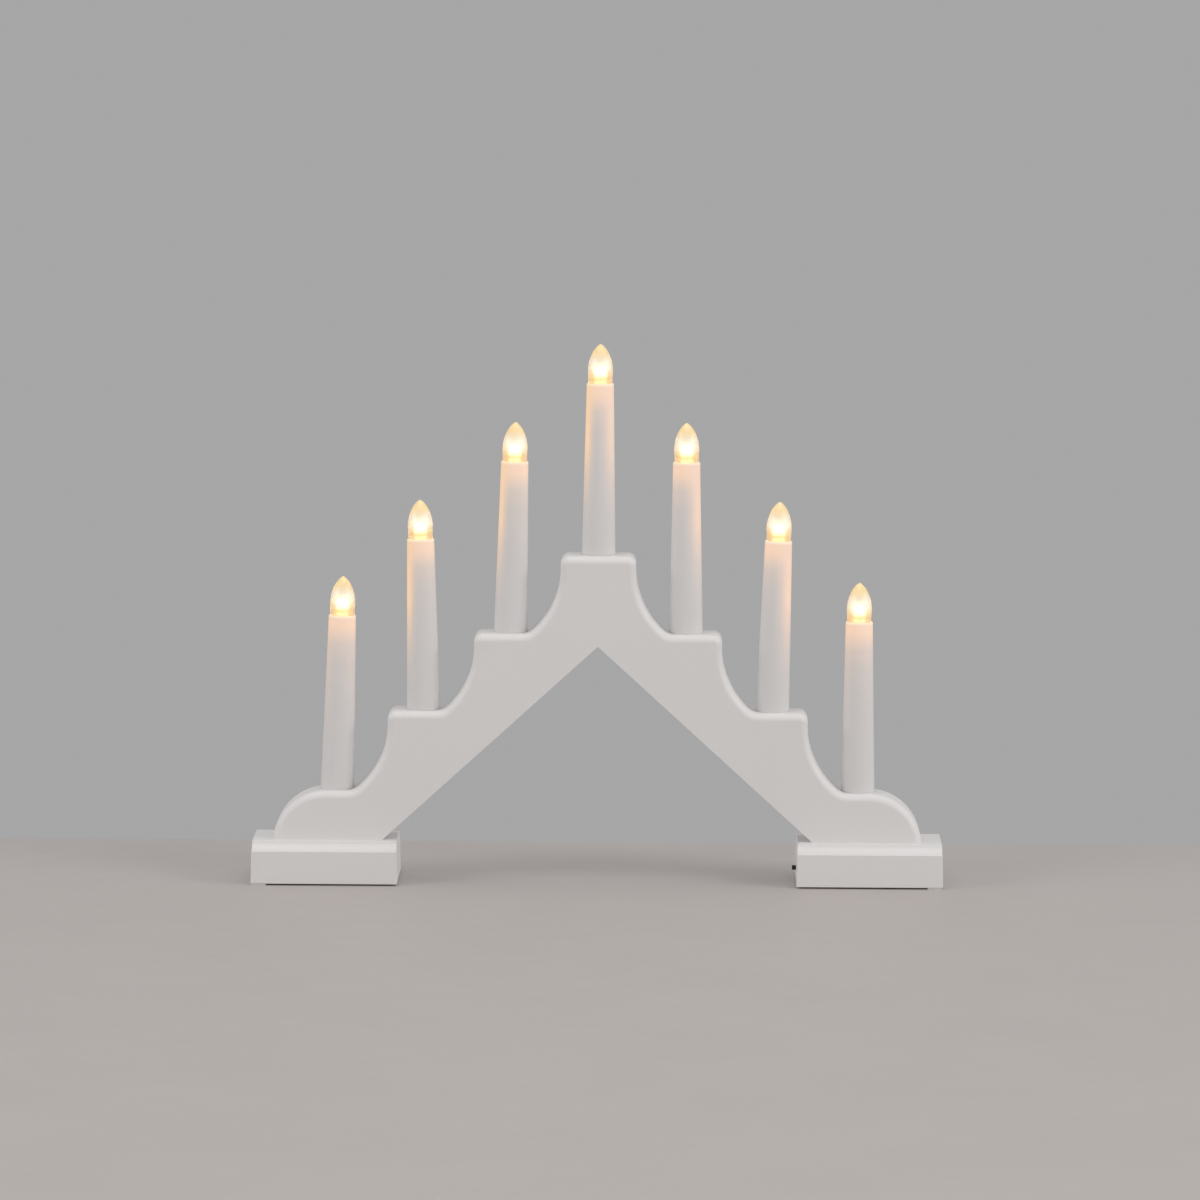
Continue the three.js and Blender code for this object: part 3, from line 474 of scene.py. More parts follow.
def tidy(piece, angle=32):
    """Merge what a cut left double, and shade the piece with its edges crisp."""
    edit(piece)
    bpy.ops.mesh.select_all(action="SELECT")
    bpy.ops.mesh.remove_doubles(threshold=2 * TOUCH)
    bpy.ops.mesh.dissolve_degenerate(threshold=TOUCH)
    bpy.ops.object.mode_set(mode="OBJECT")
    bpy.ops.object.shade_smooth_by_angle(angle=math.radians(angle))
    bpy.ops.object.modifier_add(type="WEIGHTED_NORMAL")
    weighted = piece.modifiers[-1]
    weighted.keep_sharp = True
    bpy.ops.object.modifier_apply(modifier=weighted.name)


def copies_of(first, label, count):
    """The first piece and its copies, each with its own mesh, named label_2 and on."""
    pieces = [first]
    for i in range(2, count + 1):
        twin = first.copy()
        twin.data = first.data.copy()
        twin.name = twin.data.name = f"{label}_{i}"
        bpy.context.scene.collection.objects.link(twin)
        pieces.append(twin)
    return pieces


def coat(piece, material):
    """Give a piece the material of that name and no other."""
    piece.data.materials.clear()
    piece.data.materials.append(finish(material))


def finish_piece(piece, material, body, node):
    """Give a finished piece its material and its body, and hide the moulding that it stands for."""
    coat(piece, material)
    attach(piece, body)
    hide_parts(node)


# Materials


class Finish:
    """A node material built up step by step round one Principled shader."""

    def __init__(self, name, roughness=0.5, **sockets):
        self.material = bpy.data.materials.new(name)
        self.material.use_nodes = True
        self.tree = self.material.node_tree
        self.shader = self.tree.nodes["Principled BSDF"]
        self.set("Roughness", roughness)
        for socket, value in sockets.items():
            self.set(socket.replace("_", " "), value)
        self.place = self.node("ShaderNodeTexCoord").outputs["Object"]

    def node(self, kind, **settings):
        made = self.tree.nodes.new(kind)
        for name, value in settings.items():
            setattr(made, name, value)
        return made

    def set(self, socket, value):
        if isinstance(value, tuple) and len(value) == 3:
            value = (*value, 1.0)
        self.shader.inputs[socket].default_value = value

    def link(self, output, socket):
        self.tree.links.new(output, self.shader.inputs[socket] if isinstance(socket, str) else socket)

    def noise(self, scale, detail=2.0, roughness=0.5, place=None):
        made = self.node("ShaderNodeTexNoise")
        made.inputs["Scale"].default_value = scale
        made.inputs["Detail"].default_value = detail
        made.inputs["Roughness"].default_value = roughness
        self.link(place or self.place, made.inputs["Vector"])
        return made.outputs["Fac"]

    def stretched(self, x, y, z):
        """Object coordinates scaled along each axis, for brushed or flowing patterns."""
        made = self.node("ShaderNodeMapping")
        made.inputs["Scale"].default_value = (x, y, z)
        self.link(self.place, made.inputs["Vector"])
        return made.outputs["Vector"]

    def ramp(self, fac, *stops):
        """Colours or greys at places along a factor."""
        made = self.node("ShaderNodeValToRGB")
        elements = made.color_ramp.elements
        while len(elements) < len(stops):
            elements.new(0.5)
        for element, (at, value) in zip(elements, stops):
            element.position = at
            element.color = (*value, 1.0) if isinstance(value, tuple) else (value, value, value, 1.0)
        self.link(fac, made.inputs["Fac"])
        return made.outputs["Color"]

    def spread(self, fac, low, high):
        """A factor from 0 to 1 laid out between two values."""
        made = self.node("ShaderNodeMapRange")
        made.inputs["To Min"].default_value = low
        made.inputs["To Max"].default_value = high
        self.link(fac, made.inputs["Value"])
        return made.outputs["Result"]

    def mix(self, fac, a, b):
        made = self.node("ShaderNodeMix", data_type="RGBA")
        for name, value in (("Factor", fac), ("A", a), ("B", b)):
            socket = next(s for s in made.inputs if s.name == name and s.enabled)
            if isinstance(value, tuple):
                socket.default_value = (*value, 1.0)
            else:
                self.link(value, socket)
        return next(s for s in made.outputs if s.enabled)

    def times(self, a, b):
        made = self.node("ShaderNodeMath", operation="MULTIPLY")
        self.link(a, made.inputs[0])
        self.link(b, made.inputs[1])
        return made.outputs[0]

    def bump(self, height, distance, strength=0.5, under=None):
        made = self.node("ShaderNodeBump")
        made.inputs["Distance"].default_value = distance
        made.inputs["Strength"].default_value = strength
        self.link(height, made.inputs["Height"])
        if under:
            self.link(under, made.inputs["Normal"])
        self.link(made.outputs["Normal"], "Normal")
        return made.outputs["Normal"]

    def glow(self, colour, strength=1.0):
        """Light that the piece gives off by itself, as emission: a lamp's own light, or light painted on
        parts that are no lamps.
        """
        self.link(colour, "Emission Color")
        self.set("Emission Strength", strength)

    def map(self, name):
        """The two parts of a piece's own UV map."""
        made = self.node("ShaderNodeUVMap", uv_map=name)
        parts = self.node("ShaderNodeSeparateXYZ")
        self.link(made.outputs["UV"], parts.inputs[0])
        return parts.outputs[0], parts.outputs[1]


def scaled(tint, *shares):
    """A colour with each part scaled, by one share or by three."""
    return tuple(part * share for part, share in zip(tint, shares * 3))


def moulded(name, tint, roughness=0.44, grain=0.02 * MM):
    """Injection-moulded plastic: faint flow in its colour, fine spark grain and a slight orange peel."""
    made = Finish(name, roughness, Specular_IOR_Level=0.38)
    made.link(made.mix(made.noise(18, 3), scaled(tint, 0.965), tint), "Base Color")
    made.link(made.spread(made.noise(240, 4), roughness - 0.05, roughness + 0.06), "Roughness")
    peel = made.bump(made.noise(420), 0.04 * MM, 0.6)
    made.bump(made.noise(5200), grain, under=peel)
    return made


MATERIALS = {}


def finish(name):
    """The material of that name, made when it is first asked for."""
    if name not in MATERIALS:
        MATERIALS[name] = MAKERS[name]()
    return MATERIALS[name]


def casing_plastic():
    return moulded("casing_plastic", tuple(sizes("finishes").casing)).material


def plate_plastic():
    return moulded("plate_plastic", tuple(sizes("finishes").casing), 0.46).material


def candle_plastic():
    """Thin white plastic with the light from inside painted on as glow: painted peach glow under its rim,
    with a painted streak of lamp light down one side.
    """
    tint = tuple(sizes("finishes").candle)
    made = moulded("candle_plastic", tint, 0.34)
    side, height = made.map("glow")
    left_share, right_share = made.map("streaks")
    # Painted glow: how far down the tube the side streaks of lamp light reach, and how they fall off across
    # it
    reach = made.ramp(height, (0.13, 0.0), (0.28, 0.1), (0.42, 0.33), (0.54, 0.65), (0.66, 1.0))
    left = made.ramp(side, (0.0, 0.9), (0.05, 1.0), (0.1, 1.0), (0.2, 0.45), (0.3, 0.12), (0.42, 0.0))
    right = made.ramp(side, (0.45, 0.0), (0.65, 0.35), (0.75, 0.7), (0.85, 1.0))
    painted_left_glow = made.times(made.times(left, left_share), reach)
    painted_right_glow = made.times(made.times(right, right_share), reach)
    # Painted glow: peach under the rim and brighter on the rim itself, painted as emission
    top = made.ramp(height, (0.13, 0.0), (0.5, 0.03), (0.72, 0.11), (0.84, 0.34), (0.91, 0.8), (0.945, 1.0))
    rim = made.ramp(height, (0.982, 0.0), (0.992, 1.0))
    glow = made.mix(top, (0.0, 0.0, 0.0), (0.38, 0.15, 0.0))
    glow = made.mix(painted_right_glow, glow, (0.33, 0.12, 0.0))
    glow = made.mix(painted_left_glow, glow, (0.385, 0.15, 0.0))
    made.glow(made.mix(rim, glow, (0.4, 0.25, 0.07)))
    # The painted glow also warms the base colour where the left streak of lamp light is painted
    plain = made.shader.inputs["Base Color"].links[0].from_socket
    made.link(made.mix(painted_left_glow, plain, scaled(tint, 1.0, 0.96, 0.84)), "Base Color")
    return made.material


def flame_plastic():
    """Clear cast plastic, a little cloudy, with the lamp's light painted in: painted glow on its skin and
    in its bore.
    """
    made = Finish("flame_plastic", 0.3, IOR=1.49)
    made.link(made.spread(made.noise(900), 0.26, 0.36), "Roughness")
    tint = tuple(sizes("finishes").flame)
    height = made.map("glow")[1]
    bore = made.map("bore")[0]
    made.link(made.ramp(height, (0.0, 0.85), (0.4, 0.75), (0.65, 0.4), (1.0, 0.25)), "Transmission Weight")
    # Painted lamp colour: the base colour is yellow at the band and cream towards the tip, standing in for
    # the lamp's warm light in the plastic
    yellow, cream = (0.95, 0.87, 0.54), (0.9, 0.7, 0.42)
    made.link(made.ramp(height, (0.0, yellow), (0.3, tint), (0.55, tint), (0.8, cream)), "Base Color")
    # Painted glow over the whole skin, by height, for the lamp's light in the plastic
    painted_skin_glow = made.ramp(
        height,
        (0.0, (0.16, 0.09, 0.08)),
        (0.15, (0.14, 0.07, 0.0)),
        (0.3, (0.12, 0.05, 0.0)),
        (0.55, (0.15, 0.13, 0.09)),
        (0.65, (0.1, 0.06, 0.0)),
        (0.8, (0.1, 0.11, 0.05)),
        (1.0, (0.12, 0.12, 0.06)),
    )
    # Painted glow on the bore's faces above the band, for the white core of the lamp's light
    lit = made.ramp(height, (0.12, 0.0), (0.2, 0.2), (0.3, 0.6), (0.4, 1.0))
    made.glow(made.mix(made.times(bore, lit), painted_skin_glow, (0.45, 0.36, 0.26)))
    return made.material


def lamp_lens():
    """Lit lens of a lamp: white-hot over its chip, with a dim ring and a bright foot under it."""
    made = Finish("lamp_lens", 0.2)
    height = made.map("glow")[1]
    made.link(made.ramp(height, (0.0, (0.9, 0.75, 0.5)), (1.0, (1.0, 0.95, 0.85))), "Base Color")
    glow = made.ramp(
        height,
        (0.0, (0.3, 0.26, 0.2)),
        (0.16, (0.5, 0.48, 0.42)),
        (0.22, (0.8, 0.8, 0.75)),
        (0.29, (0.5, 0.46, 0.36)),
        (0.37, (0.3, 0.26, 0.14)),
        (0.44, (0.7, 0.65, 0.55)),
        (0.5, (1.0, 0.96, 0.88)),
        (1.0, (1.0, 0.97, 0.9)),
    )
    made.glow(glow, 1.1)
    return made.material


def holder_plastic():
    return moulded("holder_plastic", (0.72, 0.66, 0.56), 0.5).material


def black_plastic():
    return moulded("black_plastic", (0.012, 0.012, 0.013), 0.38, 0.03 * MM).material


def wire_sheath():
    return moulded("wire_sheath", (0.68, 0.66, 0.62), 0.45).material


def bright_steel():
    """Zinc-plated steel with fine turning marks."""
    made = Finish("bright_steel", 0.3, Metallic=1.0)
    grain = made.noise(60, 3, place=made.stretched(12, 1, 12))
    made.link(made.mix(grain, (0.52, 0.53, 0.55), (0.66, 0.67, 0.68)), "Base Color")
    made.link(made.spread(made.noise(700, 3), 0.22, 0.4), "Roughness")
    made.bump(made.noise(2600), 0.02 * MM)
    return made.material


def contact_metal():
    """Nickel-plated spring steel."""
    made = Finish("contact_metal", 0.25, Metallic=1.0)
    made.link(made.mix(made.noise(300, 3), (0.60, 0.57, 0.52), (0.70, 0.68, 0.64)), "Base Color")
    made.link(made.spread(made.noise(900, 3), 0.18, 0.34), "Roughness")
    made.bump(made.noise(1800), 0.02 * MM)
    return made.material


def switch_metal():
    """Stamped tin-plated can."""
    made = Finish("switch_metal", 0.35, Metallic=1.0)
    made.link(made.mix(made.noise(160, 3), (0.48, 0.49, 0.5), (0.6, 0.61, 0.62)), "Base Color")
    made.link(made.spread(made.noise(1200, 3), 0.28, 0.45), "Roughness")
    return made.material


def cell_sleeve():
    """Film sleeve of a cell: plain dark blue, slightly uneven under a thin gloss."""
    made = Finish("cell_sleeve", 0.3, Coat_Weight=0.3)
    made.link(made.mix(made.noise(220, 3), (0.025, 0.05, 0.10), (0.035, 0.065, 0.13)), "Base Color")
    made.link(made.spread(made.noise(500), 0.22, 0.38), "Roughness")
    made.bump(made.noise(300), 0.03 * MM)
    return made.material


def board_resin():
    """Paper-base laminate with fine fibres."""
    made = Finish("board_resin", 0.6)
    fibre = made.noise(900, 4, place=made.stretched(1, 1, 6))
    made.link(made.mix(fibre, (0.36, 0.24, 0.10), (0.46, 0.33, 0.16)), "Base Color")
    made.bump(fibre, 0.03 * MM)
    return made.material


def table_paint():
    """Pale matt table top, a little uneven."""
    made = Finish("table_paint", 0.6)
    tint = tuple(sizes("finishes").table)
    made.link(made.mix(made.noise(14, 4, 0.6), scaled(tint, 0.93), tint), "Base Color")
    made.link(made.spread(made.noise(60, 3), 0.5, 0.7), "Roughness")
    made.bump(made.noise(900, 3), 0.05 * MM)
    return made.material


MAKERS = {
    maker.__name__: maker
    for maker in (
        casing_plastic,
        plate_plastic,
        candle_plastic,
        flame_plastic,
        lamp_lens,
        holder_plastic,
        black_plastic,
        wire_sheath,
        bright_steel,
        contact_metal,
        switch_metal,
        cell_sleeve,
        board_resin,
        table_paint,
    )
}


# Places taken from the frame


def box_of(node):
    """Lowest and highest corner of a node, in millimetres."""
    return [Vector(corner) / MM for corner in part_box(node)]


def centre_of(node):
    """Middle of a node's box, in millimetres."""
    low, high = box_of(node)
    return (low + high) / 2


def arch_levels():
    """Heights of the four steps, lowest first."""
    arch = sizes("arch")
    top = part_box("front_arch_shell")[1][2]
    second = top - 2 * arch.step_rise
    return [second - arch.first_rise, second, top - arch.step_rise, top]


def candle_places():
    """Place along the arch, height of the step, lean and lift of each candle, in metres and radians."""
    levels = arch_levels()
    places = []
    for i, (step, lean, lift) in enumerate(STANDS, start=1):
        lean, lift = math.radians(lean), lift * MM
        centre = centre_of(f"led_holder_{i}") * MM
        rise = centre.z - levels[step] - lift
        places.append((centre.x - math.sin(lean) * rise, levels[step], lean, lift))
    return places


def stand_copies(first, label, material, node):
    """Copy a piece that was modelled on the origin, and stand one in each candle's place."""
    pieces = copies_of(first, label, len(STANDS))
    for i, (piece, (x, level, lean, lift)) in enumerate(zip(pieces, candle_places()), start=1):
        piece.data.transform(Matrix.Translation((x, 0, level + lift)) @ Matrix.Rotation(lean, 4, "Y"))
        finish_piece(piece, material, "candlestick", f"{node}_{i}")
    return pieces


def paint(piece, name, values_at):
    """A UV map whose two values follow from the place of each corner."""
    layer = piece.data.uv_layers.new(name=name)
    for loop in piece.data.loops:
        layer.data[loop.index].uv = values_at(piece.data.vertices[loop.vertex_index].co)


def paint_glow(piece, low, high, radius):
    """A UV map whose first part runs across the piece and whose second runs up it."""

    def across_and_up(point):
        reach = max(math.hypot(point.x, point.y), radius * 0.05)
        return 0.5 + 0.5 * point.x / reach, (point.z - low) / (high - low)

    paint(piece, "glow", across_and_up)


# Operators


class CANDLESTICK_OT_arch(bpy.types.Operator):
    """Model the front and rear casings of the stepped arch"""

    bl_idname = "candlestick.arch"
    bl_label = "Arch casings"

    def cove_ends(self):
        """How far from the middle each cove meets its step, lowest first."""
        outermost_first = candle_places()[:3:-1]
        reach = sizes("arch").socket
        return [place[0] - reach + lap * MM for place, lap in zip(outermost_first, COVE_LAPS)]

    def valley_slope(self):
        arch = sizes("arch")
        return (arch.valley_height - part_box("front_arch_shell")[0][2]) / arch.valley_half

    def outline(self, name, inset=0.0, blend=0.0):
        """Right half from the top middle round to the valley, mirrored, at an inset from the outside."""
        arch = sizes("arch")
        levels = arch_levels()
        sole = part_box("front_arch_shell")[0][2]
        sides = [arch.low_side, arch.second_side, arch.third_side, arch.top_half]
        ends = self.cove_ends()
        corner = arch.corner_round
        pen = Pen(name, 0, levels[3] - inset)
        for k in (3, 2, 1):
            pen.line(sides[k] - corner, levels[k] - inset)
            pen.arc(sides[k] - corner, levels[k] - corner, -QUARTER, CORNER_STEPS)
            foot = levels[k] - arch.cove_drop
            pen.line(sides[k] - inset, foot)
            # The cove's circle starts upright at the block's side and ends on the step below
            fall, reach = foot - levels[k - 1], ends[k - 1] - sides[k]
            radius = (fall**2 + reach**2) / (2 * reach)
            flat = levels[k - 1] - inset
            meeting = math.asin((foot - flat) / (radius + inset))
            pen.arc(sides[k] + radius, foot, meeting - blend / radius, COVE_STEPS)
            if blend:
                kink = sides[k] + radius - radius * math.cos(meeting)
                pen.curve((kink, flat), (kink + blend, flat), BLEND_STEPS)
        centre_x, centre_z = arch.low_side - arch.shoulder, levels[0] - arch.shoulder
        heel = math.asin((sole + inset - centre_z) / (arch.shoulder - inset))
        slope = self.valley_slope()
        peak = arch.valley_height + inset * math.hypot(1, slope)
        pen.line(centre_x, levels[0] - inset)
        pen.arc(centre_x, centre_z, heel - QUARTER, SHOULDER_STEPS)
        pen.line((peak - sole - inset) / slope, sole + inset)
        pen.line(0, peak)
        pen.mirror("X")
        return pen

    def casing(self, name, node, side):
        """One half of the arch: rounded along its steps, hollow, and open at the seam."""
        arch = sizes("arch")
        low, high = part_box(node)
        face = low[1] if side < 0 else high[1]
        piece = self.outline(name, 0.0, arch.cove_blend).sweep((0, face, 0))
        slope = self.valley_slope()

        def on_steps(edge, depth):
            at = middle(edge)
            level = all(abs(corner.co.y - depth) < TOUCH for corner in edge.verts)
            over_valley = abs(arch.valley_height - slope * abs(at.x) - at.z) > 10 * TOUCH
            return level and over_valley and at.z > low[2] + 10 * TOUCH

        edit(piece)
        for depth, offset, steps in ((face, arch.edge_round, ROUND_STEPS), (0, arch.seam, 1)):
            pick(piece, "EDGE", lambda edge: on_steps(edge, depth))
            bpy.ops.mesh.bevel(offset=offset, segments=steps, affect="EDGES", clamp_overlap=False)
        close_up()
        bpy.ops.object.mode_set(mode="OBJECT")
        cavity = self.outline("cavity", arch.wall).sweep((0, face - side * arch.wall, 0))
        edit(cavity)
        # The cavity runs past the seam, so that the half is open there
        pick(cavity, "FACE", lambda end: abs(middle(end).y) < TOUCH)
        bpy.ops.transform.translate(value=(0, -side * MM, 0))
        bpy.ops.object.mode_set(mode="OBJECT")
        return combine(piece, [cavity], "DIFFERENCE")

    def add_bosses(self, piece, side):
        """Screw bosses between the two casings, and their bores with the candles' sockets."""
        bosses, holes = [], []
        start, end = sorted((side * BOSS_START, side * BOSS_END))
        for i in range(1, 7):
            x, _, z = centre_of(f"arch_screw_{i}")
            bosses.append(rod("boss", BOSS_RADIUS, (x, start, z), (x, end, z), sides=32))
            for name, (radius, near, far, facets) in BORES[side].items():
                holes.append(rod(name, radius, (x, near, z), (x, far, z), facets))
        socket = sizes("arch").socket / MM
        for x, level, _, _ in candle_places():
            step = Vector((x, 0, level)) / MM
            bottom, top = (step + Vector((0, 0, rise)) for rise in (-SOCKET_DEPTH, SOCKET_CLEAR))
            holes.append(rod("socket", socket, bottom, top, sides=96))
        combine(piece, bosses, "UNION")
        combine(piece, holes, "DIFFERENCE")

    def execute(self, context):
        for half, side in (("front", -1), ("rear", 1)):
            node = f"{half}_arch_shell"
            piece = self.casing(f"{half}_arch_casing", node, side)
            self.add_bosses(piece, side)
            tidy(piece)
            finish_piece(piece, "casing_plastic", "candlestick", node)
        return {"FINISHED"}


class FootPlan:
    """Where the faces and walls of one foot lie, in millimetres."""

    def __init__(self, node):
        foot = sizes("foot")
        low, high = box_of(node)
        self.side = 1 if low.x > 0 else -1
        self.inner, self.outer = (low.x, high.x) if self.side > 0 else (high.x, low.x)
        self.top, self.half = high.z, high.y
        self.wall, self.rim = foot.wall / MM, foot.rim / MM
        self.cove, self.rise = foot.cove_depth / MM, foot.cove_height / MM
        self.inside, self.under = self.half - self.wall, self.top - foot.roof / MM
        self.plate_ceiling = box_of("left_base_plate")[1].z + PLATE_ROOM


class CANDLESTICK_OT_feet(bpy.types.Operator):
    """Model the two hollow feet"""

    bl_idname = "candlestick.feet"
    bl_label = "Feet"

    def shell(self, name, plan):
        """The foot's coved block, with its ends leaning in."""
        foot = sizes("foot")
        # A millimetre to spare at each end, which the leaning cuts take off
        pen = Pen(name, 0, foot.rim, "YZ", (plan.inner - plan.side) * MM)
        pen.line(plan.half * MM, foot.rim)
        for i in range(FOOT_COVE_STEPS + 1):
            turn = QUARTER * i / FOOT_COVE_STEPS
            y = plan.half - plan.cove * math.sin(turn)
            z = plan.top - plan.rise * math.cos(turn)
            pen.line(y * MM, z * MM)
        pen.line(0, plan.top * MM)
        pen.mirror("Y")
        piece = pen.sweep(((plan.outer - plan.inner + 2 * plan.side) * MM, 0, 0))
        lean = foot.draft / (plan.top * MM)
        edit(piece)
        for end, way in ((plan.inner, -plan.side), (plan.outer, plan.side)):
            bpy.ops.mesh.select_all(action="SELECT")
            bpy.ops.mesh.bisect(
                plane_co=(end * MM, 0, foot.rim),
                plane_no=Vector((way, 0, lean)).normalized(),
                clear_outer=True,
                use_fill=True,
            )
        bpy.ops.mesh.select_all(action="SELECT")
        bpy.ops.mesh.normals_make_consistent(inside=False)
        bpy.ops.mesh.select_mode(type="EDGE")
        bpy.ops.mesh.select_all(action="DESELECT")
        bpy.ops.mesh.edges_select_sharp(sharpness=math.radians(30))
        bpy.ops.mesh.bevel(offset=foot.edge, segments=3, affect="EDGES")
        bpy.ops.object.mode_set(mode="OBJECT")
        return piece

    def hollow(self, piece, plan):
        """Cut the room inside, the grooves for the plates' rails and the mouth at the outer end."""
        start = plan.inner + plan.side * plan.wall
        pen = Pen("cavity", 0, -OVERRUN * MM, "YZ", start * MM)
        pen.line(plan.inside * MM, -OVERRUN * MM)
        pen.line(plan.inside * MM, (plan.under - plan.rise) * MM)
        pen.line((plan.inside - plan.cove) * MM, plan.under * MM)
        pen.line(0, plan.under * MM)
        pen.mirror("Y")
        cavity = pen.sweep(((plan.outer - plan.inner - 2 * plan.side * plan.wall) * MM, 0, 0))
        tongue = box_of("left_base_plate")[1].y + PLATE_ROOM
        floor = plan.plate_ceiling - RAIL_THICKNESS - 2 * PLATE_ROOM
        end = plan.outer + plan.side * OVERRUN
        groove = block("groove", (start, -tongue, floor), (end, tongue, plan.plate_ceiling))
        start = plan.outer - plan.side * (plan.wall + OVERRUN)
        mouth = block("mouth", (start, -plan.inside, -OVERRUN), (end, plan.inside, plan.plate_ceiling))
        for cut in (cavity, groove, mouth):
            combine(piece, [cut], "DIFFERENCE")

    def add_nibs(self, piece, plan):
        """Two nibs under the inner end wall, and one along each side at the outer end."""
        nibs = []
        top = plan.rim + SEAT
        for way in (1, -1):
            x, y = plan.inner + plan.side * INNER_NIB_INSET, way * INNER_NIB_ASIDE
            far = (x + plan.side * NIB_WIDTH, y + way * NIB_LENGTH, top)
            nibs.append(block("nib", (x, y, 0), far))
            x, y = plan.outer - plan.side * OUTER_NIB_INSET, way * (plan.half - OUTER_NIB_INSET)
            far = (x - plan.side * NIB_LENGTH, y - way * NIB_WIDTH, top)
            nibs.append(block("nib", (x, y, 0), far))
        combine(piece, nibs, "UNION")

    def partition(self, plan, x, low, high):
        """A thin wall across the foot, seated a little into its sides and roof."""
        side, shoulder = plan.inside + SEAT, plan.under - plan.rise
        pen = Pen("partition", 0, low * MM, "YZ", x * MM)
        pen.line(side * MM, low * MM)
        pen.line(side * MM, shoulder * MM)
        pen.line((side - plan.cove * (high - shoulder) / plan.rise) * MM, high * MM)
        pen.line(0, high * MM)
        pen.mirror("Y")
        return pen.sweep((PARTITION * MM, 0, 0))

    def fit_bay(self, piece, plan):
        """The battery bay's end wall, and two ribs scalloped over the cells."""
        bay = box_of("switch_cover")[1].x
        wall_top = plan.under - WIRE_ROOM
        walls = [self.partition(plan, bay - PARTITION, plan.plate_ceiling, wall_top)]
        cells = [centre_of(f"battery_{i}") for i in (1, 2, 3)]
        for share in RIB_SHARES:
            x = bay + share * (plan.outer - plan.wall - bay)
            start, end = x - OVERRUN, x + PARTITION + OVERRUN
            rib = self.partition(plan, x, wall_top - RIB_DROP, plan.under + SEAT)
            for _, y, z in cells:
                combine(rib, [rod("scallop", SCALLOP_RADIUS, (start, y, z), (end, y, z))], "DIFFERENCE")
            walls.append(rib)
        for wall in walls:
            combine(piece, [wall], "UNION")

    def cut_window(self, piece, plan):
        """The switch's window in the inner end wall."""
        height = centre_of("switch_slider").z
        start, end = plan.inner - 2 * OVERRUN, plan.inner + WINDOW_DEPTH
        low = (start, -WINDOW_HALF_WIDTH, height - WINDOW_HALF_HEIGHT)
        window = block("window", low, (end, WINDOW_HALF_WIDTH, height + WINDOW_HALF_HEIGHT))
        combine(piece, [window], "DIFFERENCE")

    def execute(self, context):
        for node in ("left_foot", "right_foot"):
            plan = FootPlan(node)
            piece = self.shell(node + "_casing", plan)
            self.hollow(piece, plan)
            self.add_nibs(piece, plan)
            if node == "right_foot":
                self.fit_bay(piece, plan)
                self.cut_window(piece, plan)
            tidy(piece)
            finish_piece(piece, "casing_plastic", "candlestick", node)
        return {"FINISHED"}


class CANDLESTICK_OT_plates(bpy.types.Operator):
    """Model the bottom plates and the sliding battery lid"""

    bl_idname = "candlestick.plates"
    bl_label = "Bottom plates"

    def plate(self, name, node):
        """A flat plate with a thin rail along its front and its back."""
        low, high = box_of(node)
        rail = Vector((0, RAIL_WIDTH, 0))
        slab = block(name, low + rail, high - rail, edge=PLATE_EDGE)
        rails = block("rails", (low.x, low.y, high.z - RAIL_THICKNESS), high, edge=RAIL_EDGE)
        return combine(slab, [rails], "UNION")

    def cut_grip(self, lid):
        """Finger grooves across the lid's underside."""
        first = box_of("battery_lid")[1].x - GRIP_INSET
        places = [first + i * GRIP_PITCH for i in range(GRIP_COUNT)]
        grooves = [
            rod("grip", GRIP_RADIUS, (x, -GRIP_HALF, GRIP_HEIGHT), (x, GRIP_HALF, GRIP_HEIGHT), sides=16)
            for x in places
        ]
        combine(lid, grooves, "DIFFERENCE")

    def execute(self, context):
        for name, node, body in (
            ("left_base_panel", "left_base_plate", "candlestick"),
            ("switch_panel", "switch_cover", "candlestick"),
            ("battery_hatch", "battery_lid", "battery_lid"),
        ):
            piece = self.plate(name, node)
            if node == "battery_lid":
                self.cut_grip(piece)
            tidy(piece)
            finish_piece(piece, "plate_plastic", body, node)
        return {"FINISHED"}


